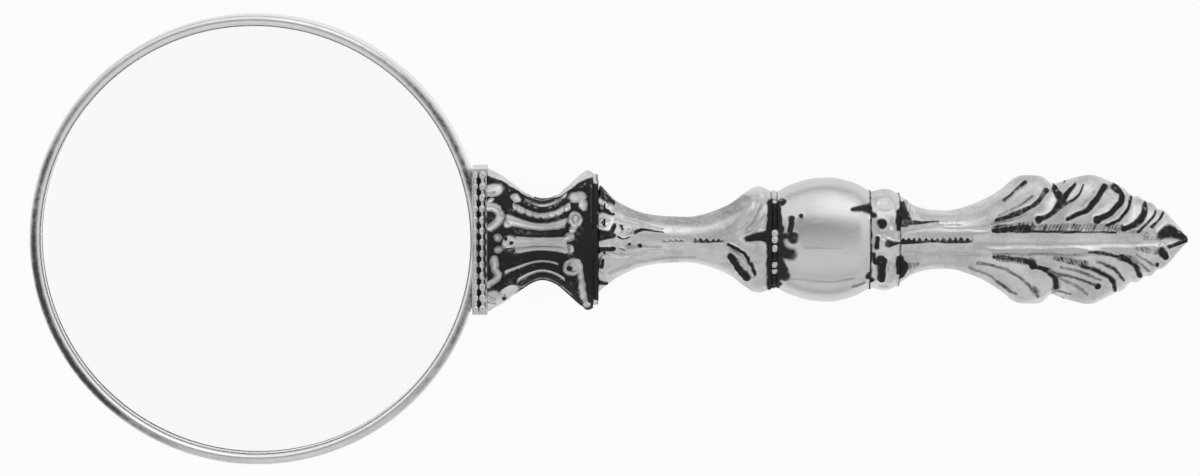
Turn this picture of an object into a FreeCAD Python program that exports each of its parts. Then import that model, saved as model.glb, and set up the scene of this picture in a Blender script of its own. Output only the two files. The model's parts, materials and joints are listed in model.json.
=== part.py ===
"""Silver hand magnifier with a round lens and a stamped leaf handle.

The magnifier lies flat: the lens is to the left (-X), the handle runs along +X and the optical axis is vertical.
The origin is under the middle of the whole length, on the surface that the magnifier lies on.

A hoop holds the lens against a front lip. A packing ring and a threaded retaining ring close it from the back.
A cast yoke straddles the hoop and carries a threaded stud inside a fluted capital. The handle (stem, beaded
collar, knop, leaf collar and leaf) is drawn together by a tang rod and its nut, and screws onto the stud
against a thrust washer. The hollow pieces are stamped halves, soldered together and filled with pitch.
Lengths are in millimetres. A "reach" is a distance along X from the centre of the lens.
"""

import FreeCAD, Part
import Sketcher
import math
import os

# Driving dimensions, one cell of the sheet each. All but the last three are lengths.
DIMENSIONS = {
    # Lens: a biconvex reading glass.
    "lens_radius": 38.7,
    "lens_edge": 1.2,
    "lens_face_radius": 340.0,
    # Hoop: a band with a half-round nose in front, whose inner lip holds the lens.
    "lip_overlap": 0.8,
    "lens_side_gap": 0.1,
    "lens_lip_gap": 0.06,
    "thread_step": 0.35,
    "rim_wall": 0.85,
    "rim_half_height": 3.0,
    "back_corner": 0.35,
    # Packing ring and threaded retaining ring behind the lens.
    "packing_thickness": 0.4,
    "packing_gap": 0.05,
    "retainer_thickness": 1.6,
    "spanner_slot_width": 2.0,
    "spanner_slot_depth": 0.7,
    "thread_gap": 0.05,
    # Yoke: a cast bar that straddles the hoop, with a boss for the stud.
    "yoke_width": 25.8,
    "yoke_front_cover": 1.7,
    "yoke_back_clearance": 0.05,
    "yoke_cheek": 1.3,
    "yoke_web": 0.9,
    "yoke_boss_wall": 2.2,
    "yoke_boss_length": 4.0,
    "solder_gap": 0.05,
    # Beaded wires on the yoke's cheeks.
    "bead_radius": 0.58,
    "bead_core_radius": 0.3,
    "bead_inset": 0.05,
    # Nuts of the stud and the tang rod.
    "nut_wall": 1.25,
    "stud_nut_thickness": 3.0,
    "tang_nut_thickness": 2.4,
    # Capital: two cast and fluted halves, flared at the mouth and at the foot. The flutes are deepest on the flares.
    "capital_length": 18.55,
    "capital_wall": 1.9,
    "capital_mouth_width": 26.4,
    "capital_mouth_depth": 15.0,
    "capital_waist_width": 14.2,
    "capital_waist_depth": 9.8,
    "capital_foot_width": 24.6,
    "capital_foot_depth": 15.0,
    "flute_radius": 0.75,
    "flute_depth": 0.3,
    # Flats filed on the crests of the mouth and the foot, front and back, so that the glass lies steady.
    "rest_depth": 0.2,
    "foot_plate_thickness": 0.9,
    "foot_plate_inset": 0.35,
    # Thrust washer between the capital and the handle.
    "washer_wall": 3.6,
    "washer_thickness": 0.6,
    "running_gap": 0.05,
    # Bush in the stem's mouth: threaded for the stud, with a socket for the tang rod.
    "bush_flange_inset": 0.2,
    "bush_flange_thickness": 0.7,
    "bush_side_gap": 0.55,
    "bush_wall": 0.55,
    "thread_length": 6.0,
    "thread_runout": 0.6,
    "bush_socket_depth": 3.4,
    # Stem: two half shells, flared at the mouth and at the end.
    "stem_length": 29.15,
    "stem_wall": 0.8,
    "stem_mouth_width": 17.0,
    "stem_mouth_flattening": 4.6,
    "stem_waist_width": 8.2,
    "stem_waist_flattening": 0.8,
    "stem_end_width": 18.8,
    "stem_end_depth": 12.4,
    # Beaded collar between stem and knop.
    "collar_thickness": 1.2,
    "collar_width": 16.4,
    "collar_depth": 10.8,
    "collar_bead_radius": 0.58,
    # Knop: two plain half shells.
    "knop_length": 16.4,
    "knop_wall": 0.9,
    "knop_width": 22.0,
    "knop_depth": 15.0,
    "knop_end_width": 17.0,
    "knop_end_depth": 11.4,
    # Leaf collar.
    "leaf_collar_length": 5.0,
    "leaf_collar_end_width": 16.8,
    "leaf_collar_end_depth": 11.0,
    "leaf_collar_width": 18.2,
    "leaf_collar_depth": 12.4,
    # Leaf: two half shells with a notched outline that ends in a point.
    "leaf_length": 51.3,
    "leaf_wall": 0.8,
    "leaf_base_width": 16.4,
    "leaf_base_depth": 10.6,
    "leaf_waist_width": 10.3,
    "leaf_waist_flattening": 2.3,
    "leaf_lobe_width": 22.8,
    "leaf_lobe_depth": 9.2,
    "leaf_tip_width": 1.2,
    "leaf_tip_flattening": 0.3,
    "leaf_notch_radius": 2.2,
    "leaf_scallop_radius": 0.9,
    "vein_radius": 0.7,
    "vein_depth": 0.08,
    # Filler of pitch inside the hollow pieces.
    "filler_gap": 0.06,
    # Tang rod and its washer.
    "rod_step": 0.25,
    "rod_gap": 0.06,
    "rod_past_nut": 1.2,
    "tang_washer_wall": 1.6,
    "tang_washer_thickness": 0.5,
    # How far a cutting tool runs past what it cuts.
    "overrun": 2.0,
    # Counts of beads.
    "beads_in_row": 13,
    "collar_beads": 22,
}

# Along a flared piece: share of its length, share of the flare that is left there.
CAPITAL_MOUTH_SHARES = ((0.0, 0.94), (0.06, 0.86), (0.17, 0.68), (0.285, 0.40), (0.4, 0.14))
CAPITAL_WAIST_SHARES = (0.52,)
CAPITAL_FOOT_SHARES = ((0.67, 0.17), (0.79, 0.54), (0.895, 0.90), (0.96, 1.0), (1.0, 0.93))
STEM_MOUTH_SHARES = ((0.0, 1.0), (0.04, 0.72), (0.077, 0.54), (0.149, 0.33), (0.221, 0.15), (0.293, 0.05))
STEM_WAIST_SHARES = (0.424, 0.513)
STEM_END_SHARES = ((0.588, 0.06), (0.66, 0.19), (0.732, 0.37), (0.805, 0.64), (0.88, 0.93), (0.93, 1.0), (1.0, 0.86))
LEAF_BASE_SHARES = ((0.0, 1.0), (0.029, 0.61), (0.055, 0.36), (0.09, 0.15), (0.133, 0.05))
LEAF_WAIST_SHARES = (0.175,)
LEAF_RISE_SHARES = ((0.236, 0.11), (0.278, 0.24), (0.32, 0.41), (0.361, 0.65), (0.402, 0.91), (0.44, 1.0))
LEAF_LOBE_SHARES = ((0.49, 1.0), (0.54, 1.0), (0.59, 1.0), (0.64, 1.0), (0.69, 0.98))
# Along the knop: share of its length, share of its swelling.
KNOP_SHARES = ((0.0, 0.03), (0.12, 0.43), (0.26, 0.72), (0.42, 0.94), (0.58, 1.0), (0.74, 0.83), (0.88, 0.55), (1.0, 0.06))
LEAF_COLLAR_SHARES = ((0.0, 0.0), (0.25, 0.7), (0.5, 1.0), (0.75, 0.6), (1.0, 0.0))
# Towards the leaf's point: share of its length, shares of the lobes' width and depth.
LEAF_POINT_SHARES = ((0.74, 0.88, 0.89), (0.8, 0.76, 0.78), (0.86, 0.63, 0.65), (0.91, 0.5, 0.52), (0.95, 0.34, 0.36))
LEAF_LAST_SHARES = ((0.98, 0.17, 0.19),)
# Notches in the leaf's outline: share of its length, share of the lobes' half width that the notch reaches in to.
LEAF_NOTCH_SHARES = ((0.527, 0.89),)
LEAF_SCALLOP_SHARES = ((0.765, 0.79), (0.815, 0.69), (0.86, 0.6), (0.9, 0.49))
# Veins pressed into the leaf: shares of its length and of the lobes' half width, from the midrib to the edge.
LEAF_VEIN_SHARES = (
    ((0.31, 0.1), (0.42, 0.8)),
    ((0.4, 0.12), (0.52, 0.8)),
    ((0.5, 0.12), (0.62, 0.85)),
    ((0.6, 0.12), (0.715, 0.8)),
    ((0.69, 0.1), (0.79, 0.62)),
)
# Angles of the capital's flutes, in degrees from its front and back ridges.
FLUTE_ANGLES = (17, 38, 59, 79)

DOC = FreeCAD.newDocument("HandMagnifier")
SHEET = DOC.addObject("Spreadsheet::Sheet", "dims")
NODES = []
X_AXIS = FreeCAD.Vector(1, 0, 0)
Y_AXIS = FreeCAD.Vector(0, 1, 0)
Z_AXIS = FreeCAD.Vector(0, 0, 1)
# Turns an ellipse's own axes so that it stands across the handle: X to Y, Y to Z, Z to X.
ACROSS_HANDLE = FreeCAD.Rotation(FreeCAD.Vector(1, 1, 1), 120)
ALONG_HANDLE = FreeCAD.Rotation(Y_AXIS, 90)


def fill_sheet():
    """Writes every driving dimension into the sheet, as plain numbers with aliases."""
    for row, (name, value) in enumerate(DIMENSIONS.items(), start=1):
        SHEET.set(f"A{row}", name)
        SHEET.set(f"B{row}", str(value))
        SHEET.setAlias(f"B{row}", name)
    DOC.recompute()


def number(expression):
    """The value of an expression on the sheet's cells."""
    value = SHEET.evalExpression(str(expression))
    return float(getattr(value, "Value", value))


def total(*expressions):
    """The sum of several expressions, as one expression."""
    return "(" + " + ".join(str(e) for e in expressions) + ")"


def less(first, *others):
    """The first expression less all the others, as one expression."""
    return f"({first} - {total(*others)})"


def times(share, expression):
    """A share of an expression, as one expression."""
    return f"({share} * {expression})"


def negative(expression):
    """The expression with its sign turned, as one expression."""
    return f"(0 - {expression})"


# Radii of the rim, from the lens outwards.
LIP_RADIUS = less("dims.lens_radius", "dims.lip_overlap")
GROOVE_RADIUS = total("dims.lens_radius", "dims.lens_side_gap")
THREAD_RADIUS = total(GROOVE_RADIUS, "dims.thread_step")
RIM_RADIUS = total(THREAD_RADIUS, "dims.rim_wall")
NOSE_RADIUS = times(0.5, less(RIM_RADIUS, LIP_RADIUS))
YOKE_INNER = total(RIM_RADIUS, "dims.solder_gap")
YOKE_OUTER = total(YOKE_INNER, "dims.yoke_web")
YOKE_FRONT_REACH = less(RIM_RADIUS, "dims.yoke_front_cover")
YOKE_BACK_REACH = total(less(RIM_RADIUS, "dims.back_corner"), "dims.yoke_back_clearance")

# Heights in the rim, from the lens's middle plane.
LENS_SAG = "(dims.lens_face_radius - sqrt(dims.lens_face_radius ^ 2 - dims.lens_radius ^ 2))"
LIP_SAG = f"(dims.lens_face_radius - sqrt(dims.lens_face_radius ^ 2 - {LIP_RADIUS} ^ 2))"
HALF_EDGE = times(0.5, "dims.lens_edge")
LIP_HEIGHT = total(HALF_EDGE, less(LENS_SAG, LIP_SAG), "dims.lens_lip_gap")
PACKING_TOP = negative(LIP_HEIGHT)
PACKING_BOTTOM = less(PACKING_TOP, "dims.packing_thickness")
THREAD_TOP = less(PACKING_BOTTOM, "dims.packing_gap")
RETAINER_BOTTOM = less(THREAD_TOP, "dims.retainer_thickness")
CHEEK_INNER = total("dims.rim_half_height", "dims.solder_gap")
CHEEK_OUTER = total(CHEEK_INNER, "dims.yoke_cheek")

# Sections given by a width and by how much thinner than wide they are.
STEM_MOUTH = ("dims.stem_mouth_width", less("dims.stem_mouth_width", "dims.stem_mouth_flattening"))
STEM_WAIST = ("dims.stem_waist_width", less("dims.stem_waist_width", "dims.stem_waist_flattening"))
LEAF_WAIST = ("dims.leaf_waist_width", less("dims.leaf_waist_width", "dims.leaf_waist_flattening"))
LEAF_TIP = ("dims.leaf_tip_width", less("dims.leaf_tip_width", "dims.leaf_tip_flattening"))

# Radii on the handle's axis: the bush fits the stem's waist, the stud fits the bush and the rod is a step thinner.
BUSH_RADIUS = less(times(0.5, STEM_WAIST[1]), "dims.stem_wall", "dims.bush_side_gap")
STUD_RADIUS = less(BUSH_RADIUS, "dims.bush_wall", "dims.thread_gap")
STUD_HOLE = total(STUD_RADIUS, "dims.thread_gap")
ROD_RADIUS = less(STUD_RADIUS, "dims.rod_step")
ROD_HOLE = total(ROD_RADIUS, "dims.rod_gap")

# Reaches along the handle, from the centre of the lens.
CAPITAL_START = total(YOKE_OUTER, "dims.solder_gap")
CAPITAL_END = total(CAPITAL_START, "dims.capital_length")
FOOT_PLATE_END = total(CAPITAL_END, "dims.foot_plate_thickness")
WASHER_START = total(FOOT_PLATE_END, "dims.running_gap")
WASHER_END = total(WASHER_START, "dims.washer_thickness")
BUSH_START = total(WASHER_END, "dims.running_gap")
STEM_START = total(BUSH_START, "dims.bush_flange_thickness")
STEM_END = total(STEM_START, "dims.stem_length")
KNOP_START = total(STEM_END, "dims.collar_thickness")
KNOP_END = total(KNOP_START, "dims.knop_length")
LEAF_START = total(KNOP_END, "dims.leaf_collar_length")
LEAF_END = total(LEAF_START, "dims.leaf_length")
STUD_START = total(RIM_RADIUS, times(2, "dims.solder_gap"))
STUD_NUT_START = total(YOKE_OUTER, "dims.yoke_boss_length")
STUD_END = total(BUSH_START, "dims.thread_length")
SOCKET_START = total(STUD_END, "dims.thread_runout")
BUSH_END = total(SOCKET_START, "dims.bush_socket_depth")
ROD_START = total(SOCKET_START, "dims.rod_gap")
TANG_NUT_START = total(LEAF_START, "dims.tang_washer_thickness")
ROD_END = total(TANG_NUT_START, "dims.tang_nut_thickness", "dims.rod_past_nut")

# The centre of the lens in the model's frame, and the height of the handle's axis above the surface.
LENS_X = times(0.5, less(RIM_RADIUS, LEAF_END))
AXIS_Z = "(0.5 * max(dims.capital_mouth_depth; dims.capital_foot_depth; dims.knop_depth))"


def node(obj, label):
    """Names an object as one of the model's pieces."""
    obj.Label = label
    NODES.append(obj)


def bind(obj, **expressions):
    """Binds properties to the sheet. A double underscore stands for a dot in the property's path."""
    for path, expression in expressions.items():
        obj.setExpression(path.replace("__", "."), str(expression))


def put(obj, reach=0, y=0, z=0):
    """Places an object at a reach along the handle, a distance to the left of its axis and one above it."""
    bind(obj, Placement__Base__x=total(LENS_X, reach), Placement__Base__y=y, Placement__Base__z=total(AXIS_Z, z))


def outline(body, name, role, steps):
    """Draws a closed outline in one of a body's own planes.

    Each step is a corner (x, y). A third and fourth entry are the radius of the arc that leads on to the next
    corner and the side that it bulges to: 1 is left of the way there and -1 is right.
    """
    sketch = body.newObject("Sketcher::SketchObject", name)
    plane = next(feature for feature in body.Origin.OriginFeatures if feature.Role == role)
    sketch.AttachmentSupport = [(plane, "")]
    sketch.MapMode = "FlatFace"
    corners = [FreeCAD.Vector(number(step[0]), number(step[1]), 0) for step in steps]
    starts, ends = [], []
    for index, step in enumerate(steps):
        start, end = corners[index], corners[(index + 1) % len(corners)]
        if len(step) > 2:
            way = end.sub(start)
            radius = number(step[2])
            rise = radius - math.sqrt(max(radius**2 - (way.Length / 2) ** 2, 0))
            left = FreeCAD.Vector(-way.y, way.x, 0).normalize()
            edge = sketch.addGeometry(Part.Arc(start, start.add(way.multiply(0.5)).add(left.multiply(rise * step[3])), end))
            held = sketch.addConstraint(Sketcher.Constraint("Radius", edge, radius))
            sketch.setExpression(f"Constraints[{held}]", step[2])
        else:
            edge = sketch.addGeometry(Part.LineSegment(start, end))
        near = min((1, 2), key=lambda point: sketch.getPoint(edge, point).distanceToPoint(start))
        starts.append((edge, near))
        ends.append((edge, 3 - near))
    for index, step in enumerate(steps):
        sketch.addConstraint(Sketcher.Constraint("Coincident", *ends[index - 1], *starts[index]))
        for kind, value in (("DistanceX", step[0]), ("DistanceY", step[1])):
            held = sketch.addConstraint(Sketcher.Constraint(kind, -1, 1, *starts[index], number(value)))
            sketch.setExpression(f"Constraints[{held}]", str(value))
    return sketch


def turned(name, axis, steps, half_angle=None):
    """A body turned from an outline in (reach, height): about V_Axis, the lens's axis, or H_Axis, the handle's."""
    body = DOC.addObject("PartDesign::Body", name)
    profile = outline(body, f"{name}_outline", "XZ_Plane", steps)
    turn = body.newObject("PartDesign::Revolution", f"{name}_turn")
    turn.Profile = profile
    turn.ReferenceAxis = (profile, [axis])
    if half_angle:
        turn.Midplane = True
        bind(turn, Angle=times(2, half_angle))
    else:
        turn.Angle = 360.0
    body.Tip = turn
    put(body)
    return body


def tube(name, start, end, inner, outer):
    """A turned tube, or a rod where the inner radius is nought, on the handle's axis."""
    return turned(name, "H_Axis", ((start, inner), (end, inner), (end, outer), (start, outer)))


def oval(name, reach, width, depth):
    """An ellipse across the handle, of a full width and a full depth."""
    ring = DOC.addObject("Part::Ellipse", name)
    ring.Placement = FreeCAD.Placement(FreeCAD.Vector(), ACROSS_HANDLE)
    bind(ring, MajorRadius=times(0.5, width), MinorRadius=times(0.5, depth))
    put(ring, reach)
    return ring


def oval_loft(name, stations, skin=0):
    """A solid through ovals, each given as reach, width and depth and drawn in all round by a skin."""
    loft = DOC.addObject("Part::Loft", name)
    loft.Sections = [
        oval(f"{name}_{index}", reach, less(width, times(2, skin)), less(depth, times(2, skin)))
        for index, (reach, width, depth) in enumerate(stations)
    ]
    loft.Solid = True
    return loft


def oval_plate(name, start, thickness, width, depth):
    """A flat oval plate across the handle."""
    plate = DOC.addObject("Part::Extrusion", name)
    plate.Base = oval(f"{name}_edge", start, width, depth)
    plate.DirMode = "Custom"
    plate.Dir = X_AXIS
    plate.Solid = True
    bind(plate, LengthFwd=thickness)
    return plate


def drill(name, start, end, radius):
    """A cylinder on the handle's axis, from one reach to another."""
    tool = DOC.addObject("Part::Cylinder", name)
    tool.Placement = FreeCAD.Placement(FreeCAD.Vector(), ALONG_HANDLE)
    bind(tool, Radius=radius, Height=less(end, start))
    put(tool, start)
    return tool


def joined(name, *shapes):
    """Several objects fused into one."""
    fused = DOC.addObject("Part::MultiFuse", name)
    fused.Shapes = list(shapes)
    return fused


def cut(name, base, *tools):
    """The base less its tools, one after the other."""
    result = base
    for index, tool in enumerate(tools):
        step = DOC.addObject("Part::Cut", f"{name}_{index}")
        step.Base = result
        step.Tool = tool
        result = step
    return result


def halves(piece, whole, *tools):
    """The front shell of a hollow piece, which ends at the handle's middle plane, and its mirror image behind.

    The tools press the ornament into the front shell.
    """
    width = total("dims.capital_mouth_width", "dims.knop_width", "dims.leaf_lobe_width")
    space = DOC.addObject("Part::Box", f"{piece}_front_space")
    bind(space, Length=total(LEAF_END, "dims.overrun"), Width=width, Height=total(AXIS_Z, "dims.overrun"))
    put(space, 0, times(-0.5, width))
    half = DOC.addObject("Part::MultiCommon", f"{piece}_half")
    half.Shapes = [whole, space]
    front = cut(f"{piece}_front", half, *tools)
    node(front, f"{piece}_front_shell")
    back = DOC.addObject("Part::Mirroring", f"{piece}_back")
    back.Source = front
    back.Normal = Z_AXIS
    bind(back, Base__z=AXIS_Z)
    node(back, f"{piece}_back_shell")


def stations(start, length, shares, plain, full):
    """Ovals along a piece, between a plain (width, depth) and a full one, by shares of its length and its flare."""
    return [
        (
            total(start, times(along, length)),
            total(plain[0], times(flare, less(full[0], plain[0]))),
            total(plain[1], times(flare, less(full[1], plain[1]))),
        )
        for along, flare in shares
    ]


def level(shares):
    """Shares of a piece's length where it has its plain section."""
    return tuple((along, 0) for along in shares)


def lens():
    """The biconvex glass."""
    crown = total(HALF_EDGE, LENS_SAG)
    steps = (
        (0, negative(crown), "dims.lens_face_radius", -1),
        ("dims.lens_radius", negative(HALF_EDGE)),
        ("dims.lens_radius", HALF_EDGE, "dims.lens_face_radius", -1),
        (0, crown),
    )
    node(turned("lens_glass", "V_Axis", steps), "lens")


def rim():
    """The hoop and the packing ring."""
    nose_foot = less("dims.rim_half_height", NOSE_RADIUS)
    bottom = negative("dims.rim_half_height")
    hoop = (
        (LIP_RADIUS, LIP_HEIGHT),
        (GROOVE_RADIUS, LIP_HEIGHT),
        (GROOVE_RADIUS, THREAD_TOP),
        (THREAD_RADIUS, THREAD_TOP),
        (THREAD_RADIUS, bottom),
        (less(RIM_RADIUS, "dims.back_corner"), bottom),
        (RIM_RADIUS, total(bottom, "dims.back_corner")),
        (RIM_RADIUS, nose_foot, NOSE_RADIUS, -1),
        (less(RIM_RADIUS, NOSE_RADIUS), "dims.rim_half_height", NOSE_RADIUS, -1),
        (LIP_RADIUS, nose_foot),
    )
    node(turned("hoop", "V_Axis", hoop), "rim_hoop")
    packing = (
        (LIP_RADIUS, PACKING_BOTTOM),
        ("dims.lens_radius", PACKING_BOTTOM),
        ("dims.lens_radius", PACKING_TOP),
        (LIP_RADIUS, PACKING_TOP),
    )
    node(turned("packing", "V_Axis", packing), "packing_ring")


def retaining_ring():
    """The threaded ring behind the lens, with two slots for a pin spanner."""
    outer = less(THREAD_RADIUS, "dims.thread_gap")
    top = less(THREAD_TOP, "dims.packing_gap")
    steps = ((LIP_RADIUS, RETAINER_BOTTOM), (outer, RETAINER_BOTTOM), (outer, top), (LIP_RADIUS, top))
    ring = turned("retainer", "V_Axis", steps)
    side = times(0.5, "dims.spanner_slot_width")
    below = less(RETAINER_BOTTOM, "dims.overrun")
    floor = total(RETAINER_BOTTOM, "dims.spanner_slot_depth")
    slot = ring.newObject("PartDesign::Pocket", "spanner_slots")
    steps = ((negative(side), below), (side, below), (side, floor), (negative(side), floor))
    slot.Profile = outline(ring, "spanner_slot_outline", "YZ_Plane", steps)
    slot.SideType = "Symmetric"
    bind(slot, Length=times(2, total(THREAD_RADIUS, "dims.overrun")))
    ring.Tip = slot
    node(ring, "retaining_ring")


def disc(name, radius, bottom, top):
    """A cylinder on the lens's axis, from one height to another."""
    tool = DOC.addObject("Part::Cylinder", name)
    bind(tool, Radius=radius, Height=less(top, bottom))
    put(tool, 0, 0, bottom)
    return tool


def yoke():
    """The cast yoke: a bar across the hoop's edge, hollowed to straddle the hoop and bored for the stud."""
    bar = DOC.addObject("Part::Box", "yoke_bar")
    bind(bar, Length=less(YOKE_OUTER, YOKE_FRONT_REACH), Width="dims.yoke_width", Height=times(2, CHEEK_OUTER))
    put(bar, YOKE_FRONT_REACH, times(-0.5, "dims.yoke_width"), negative(CHEEK_OUTER))
    boss_start = less(YOKE_OUTER, times(0.5, "dims.yoke_web"))
    boss = drill("yoke_boss", boss_start, STUD_NUT_START, total(STUD_HOLE, "dims.yoke_boss_wall"))
    tunnel = disc("yoke_tunnel", YOKE_INNER, negative(CHEEK_INNER), CHEEK_INNER)
    clearing = disc("yoke_clearing", YOKE_BACK_REACH, less(negative(CHEEK_OUTER), "dims.overrun"), 0)
    hole = drill("yoke_hole", LIP_RADIUS, total(STUD_NUT_START, "dims.overrun"), STUD_HOLE)
    node(cut("yoke", joined("yoke_casting", bar, boss), tunnel, clearing, hole), "rim_yoke")


def beaded_wire(name, reach, height):
    """A straight wire of beads that lies across the yoke, at a reach and a height."""
    core = DOC.addObject("Part::Cylinder", f"{name}_core")
    core.Placement = FreeCAD.Placement(FreeCAD.Vector(), FreeCAD.Rotation(X_AXIS, -90))
    bind(core, Radius="dims.bead_core_radius", Height="dims.yoke_width")
    put(core, reach, times(-0.5, "dims.yoke_width"), height)
    beads = [core]
    count = round(number("dims.beads_in_row"))
    for index in range(count):
        place = (index + 0.5) / count - 0.5
        bead = DOC.addObject("Part::Sphere", f"{name}_bead_{index}")
        bind(bead, Radius="dims.bead_radius")
        put(bead, reach, times(place, "dims.yoke_width"), height)
        beads.append(bead)
    return joined(name, *beads)


def beaded_wires():
    """Two beaded wires on the yoke's front cheek and one on its back cheek."""
    inset = total("dims.bead_inset", "dims.bead_radius")
    height = total(CHEEK_OUTER, "dims.solder_gap", "dims.bead_radius")
    inner = beaded_wire("inner_wire", total(YOKE_FRONT_REACH, inset), height)
    outer = beaded_wire("outer_wire", less(YOKE_OUTER, inset), height)
    pair = DOC.addObject("Part::Compound", "front_wires")
    pair.Links = [inner, outer]
    node(pair, "front_beaded_wires")
    middle = times(0.5, total(YOKE_BACK_REACH, YOKE_OUTER))
    node(beaded_wire("back_wire", middle, negative(height)), "back_beaded_wire")


def nut(name, start, thickness, radius, hole):
    """A hexagonal nut on the handle's axis, for a screw of a radius, with its hole."""
    flats = total(radius, "dims.nut_wall")
    block = DOC.addObject("Part::Prism", f"{name}_block")
    block.Polygon = 6
    block.Placement = FreeCAD.Placement(FreeCAD.Vector(), ALONG_HANDLE)
    bind(block, Circumradius=f"({flats} / cos(30deg))", Height=thickness)
    put(block, start)
    bore = drill(f"{name}_bore", less(start, "dims.overrun"), total(start, thickness, "dims.overrun"), hole)
    node(cut(f"{name}_bored", block, bore), name)


def flute(name, angle):
    """A ring-shaped tool that presses one flute along the capital, in the plane at an angle from its front ridge."""
    toward = f"cos({angle} * 1deg) ^ 2"
    across = f"sin({angle} * 1deg) ^ 2"

    def reach_out(width, depth):
        return f"(1 / sqrt(4 * {toward} / {depth} ^ 2 + 4 * {across} / {width} ^ 2))"

    waist = reach_out("dims.capital_waist_width", "dims.capital_waist_depth")
    mouth = reach_out("dims.capital_mouth_width", "dims.capital_mouth_depth")
    rise = less(mouth, waist)
    sweep = f"((0.25 * dims.capital_length ^ 2 + {rise} ^ 2) / (2 * {rise}))"
    centre = total(waist, sweep, "dims.flute_radius", negative("dims.flute_depth"))
    tool = DOC.addObject("Part::Torus", name)
    tool.Placement = FreeCAD.Placement(FreeCAD.Vector(), FreeCAD.Rotation(X_AXIS, 90 - angle))
    bind(tool, Radius1=sweep, Radius2="dims.flute_radius")
    waist_reach = total(CAPITAL_START, times(CAPITAL_WAIST_SHARES[0], "dims.capital_length"))
    put(tool, waist_reach, f"{centre} * sin({angle} * 1deg)", f"{centre} * cos({angle} * 1deg)")
    return tool


def rest_flat():
    """A tool that files the capital's crests flat, in front."""
    tool = DOC.addObject("Part::Box", "rest_flat")
    length = total("dims.capital_length", times(2, "dims.overrun"))
    bind(tool, Length=length, Width="dims.capital_mouth_width", Height="dims.overrun")
    crest = less(times(0.5, "dims.capital_foot_depth"), "dims.rest_depth")
    put(tool, less(CAPITAL_START, "dims.overrun"), times(-0.5, "dims.capital_mouth_width"), crest)
    return tool


def capital():
    """The capital's two fluted shells, which butt against the yoke, and the plate that closes its foot."""
    waist = ("dims.capital_waist_width", "dims.capital_waist_depth")
    mouth = ("dims.capital_mouth_width", "dims.capital_mouth_depth")
    foot = ("dims.capital_foot_width", "dims.capital_foot_depth")
    ovals = stations(CAPITAL_START, "dims.capital_length", CAPITAL_MOUTH_SHARES, waist, mouth)
    ovals += stations(CAPITAL_START, "dims.capital_length", level(CAPITAL_WAIST_SHARES), waist, waist)
    ovals += stations(CAPITAL_START, "dims.capital_length", CAPITAL_FOOT_SHARES, waist, foot)
    angles = [side * angle for angle in FLUTE_ANGLES for side in (1, -1)]
    flutes = [flute(f"flute_{index}", angle) for index, angle in enumerate(angles)]
    shell = cut(
        "capital_shell",
        oval_loft("capital_outside", ovals),
        oval_loft("capital_inside", ovals, "dims.capital_wall"),
    )
    halves("capital", shell, *flutes, rest_flat())
    inset = times(2, "dims.foot_plate_inset")
    _, width, depth = ovals[-1]
    plate = oval_plate("foot_plate", CAPITAL_END, "dims.foot_plate_thickness", less(width, inset), less(depth, inset))
    hole = drill("foot_plate_hole", less(CAPITAL_END, "dims.overrun"), total(FOOT_PLATE_END, "dims.overrun"), STUD_HOLE)
    node(cut("foot_plate_bored", plate, hole), "capital_foot_plate")


def stem():
    """The bush, the stem's two shells and the pitch that fills them."""
    inset = times(2, "dims.bush_flange_inset")
    flange = oval_plate(
        "bush_flange",
        BUSH_START,
        "dims.bush_flange_thickness",
        less(STEM_MOUTH[0], inset),
        less(STEM_MOUTH[1], inset),
    )
    sleeve = drill("bush_sleeve", less(STEM_START, times(0.5, "dims.bush_flange_thickness")), BUSH_END, BUSH_RADIUS)
    bore = drill("bush_bore", less(BUSH_START, "dims.overrun"), SOCKET_START, STUD_HOLE)
    socket = drill("bush_socket", less(SOCKET_START, "dims.rod_gap"), total(BUSH_END, "dims.overrun"), ROD_HOLE)
    node(cut("bush", joined("bush_blank", flange, sleeve), bore, socket), "stem_bush")

    end = ("dims.stem_end_width", "dims.stem_end_depth")
    ovals = stations(STEM_START, "dims.stem_length", STEM_MOUTH_SHARES, STEM_WAIST, STEM_MOUTH)
    ovals += stations(STEM_START, "dims.stem_length", level(STEM_WAIST_SHARES), STEM_WAIST, STEM_WAIST)
    ovals += stations(STEM_START, "dims.stem_length", STEM_END_SHARES, STEM_WAIST, end)
    inside = oval_loft("stem_inside", ovals, "dims.stem_wall")
    halves("stem", cut("stem_shell", oval_loft("stem_outside", ovals), inside))

    bush_space = drill("stem_bush_space", LIP_RADIUS, total(BUSH_END, "dims.filler_gap"), "dims.stem_mouth_width")
    hole = drill("stem_rod_hole", STEM_START, total(STEM_END, "dims.overrun"), ROD_HOLE)
    pitch = oval_loft("stem_pitch", ovals, total("dims.stem_wall", "dims.filler_gap"))
    node(cut("stem_filling", pitch, bush_space, hole), "stem_filler")


def collar():
    """The beaded collar between stem and knop."""
    plate = oval_plate("collar_plate", STEM_END, "dims.collar_thickness", "dims.collar_width", "dims.collar_depth")
    middle = total(STEM_END, times(0.5, "dims.collar_thickness"))
    beads = []
    count = round(number("dims.collar_beads"))
    for index in range(count):
        angle = 360 * (index + 0.5) / count
        bead = DOC.addObject("Part::Sphere", f"collar_bead_{index}")
        bind(bead, Radius="dims.collar_bead_radius")
        put(
            bead,
            middle,
            f"0.5 * dims.collar_width * cos({angle} * 1deg)",
            f"0.5 * dims.collar_depth * sin({angle} * 1deg)",
        )
        beads.append(bead)
    hole = drill("collar_hole", less(STEM_END, "dims.overrun"), total(KNOP_START, "dims.overrun"), ROD_HOLE)
    node(cut("collar", joined("collar_beaded", plate, *beads), hole), "beaded_collar")


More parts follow.
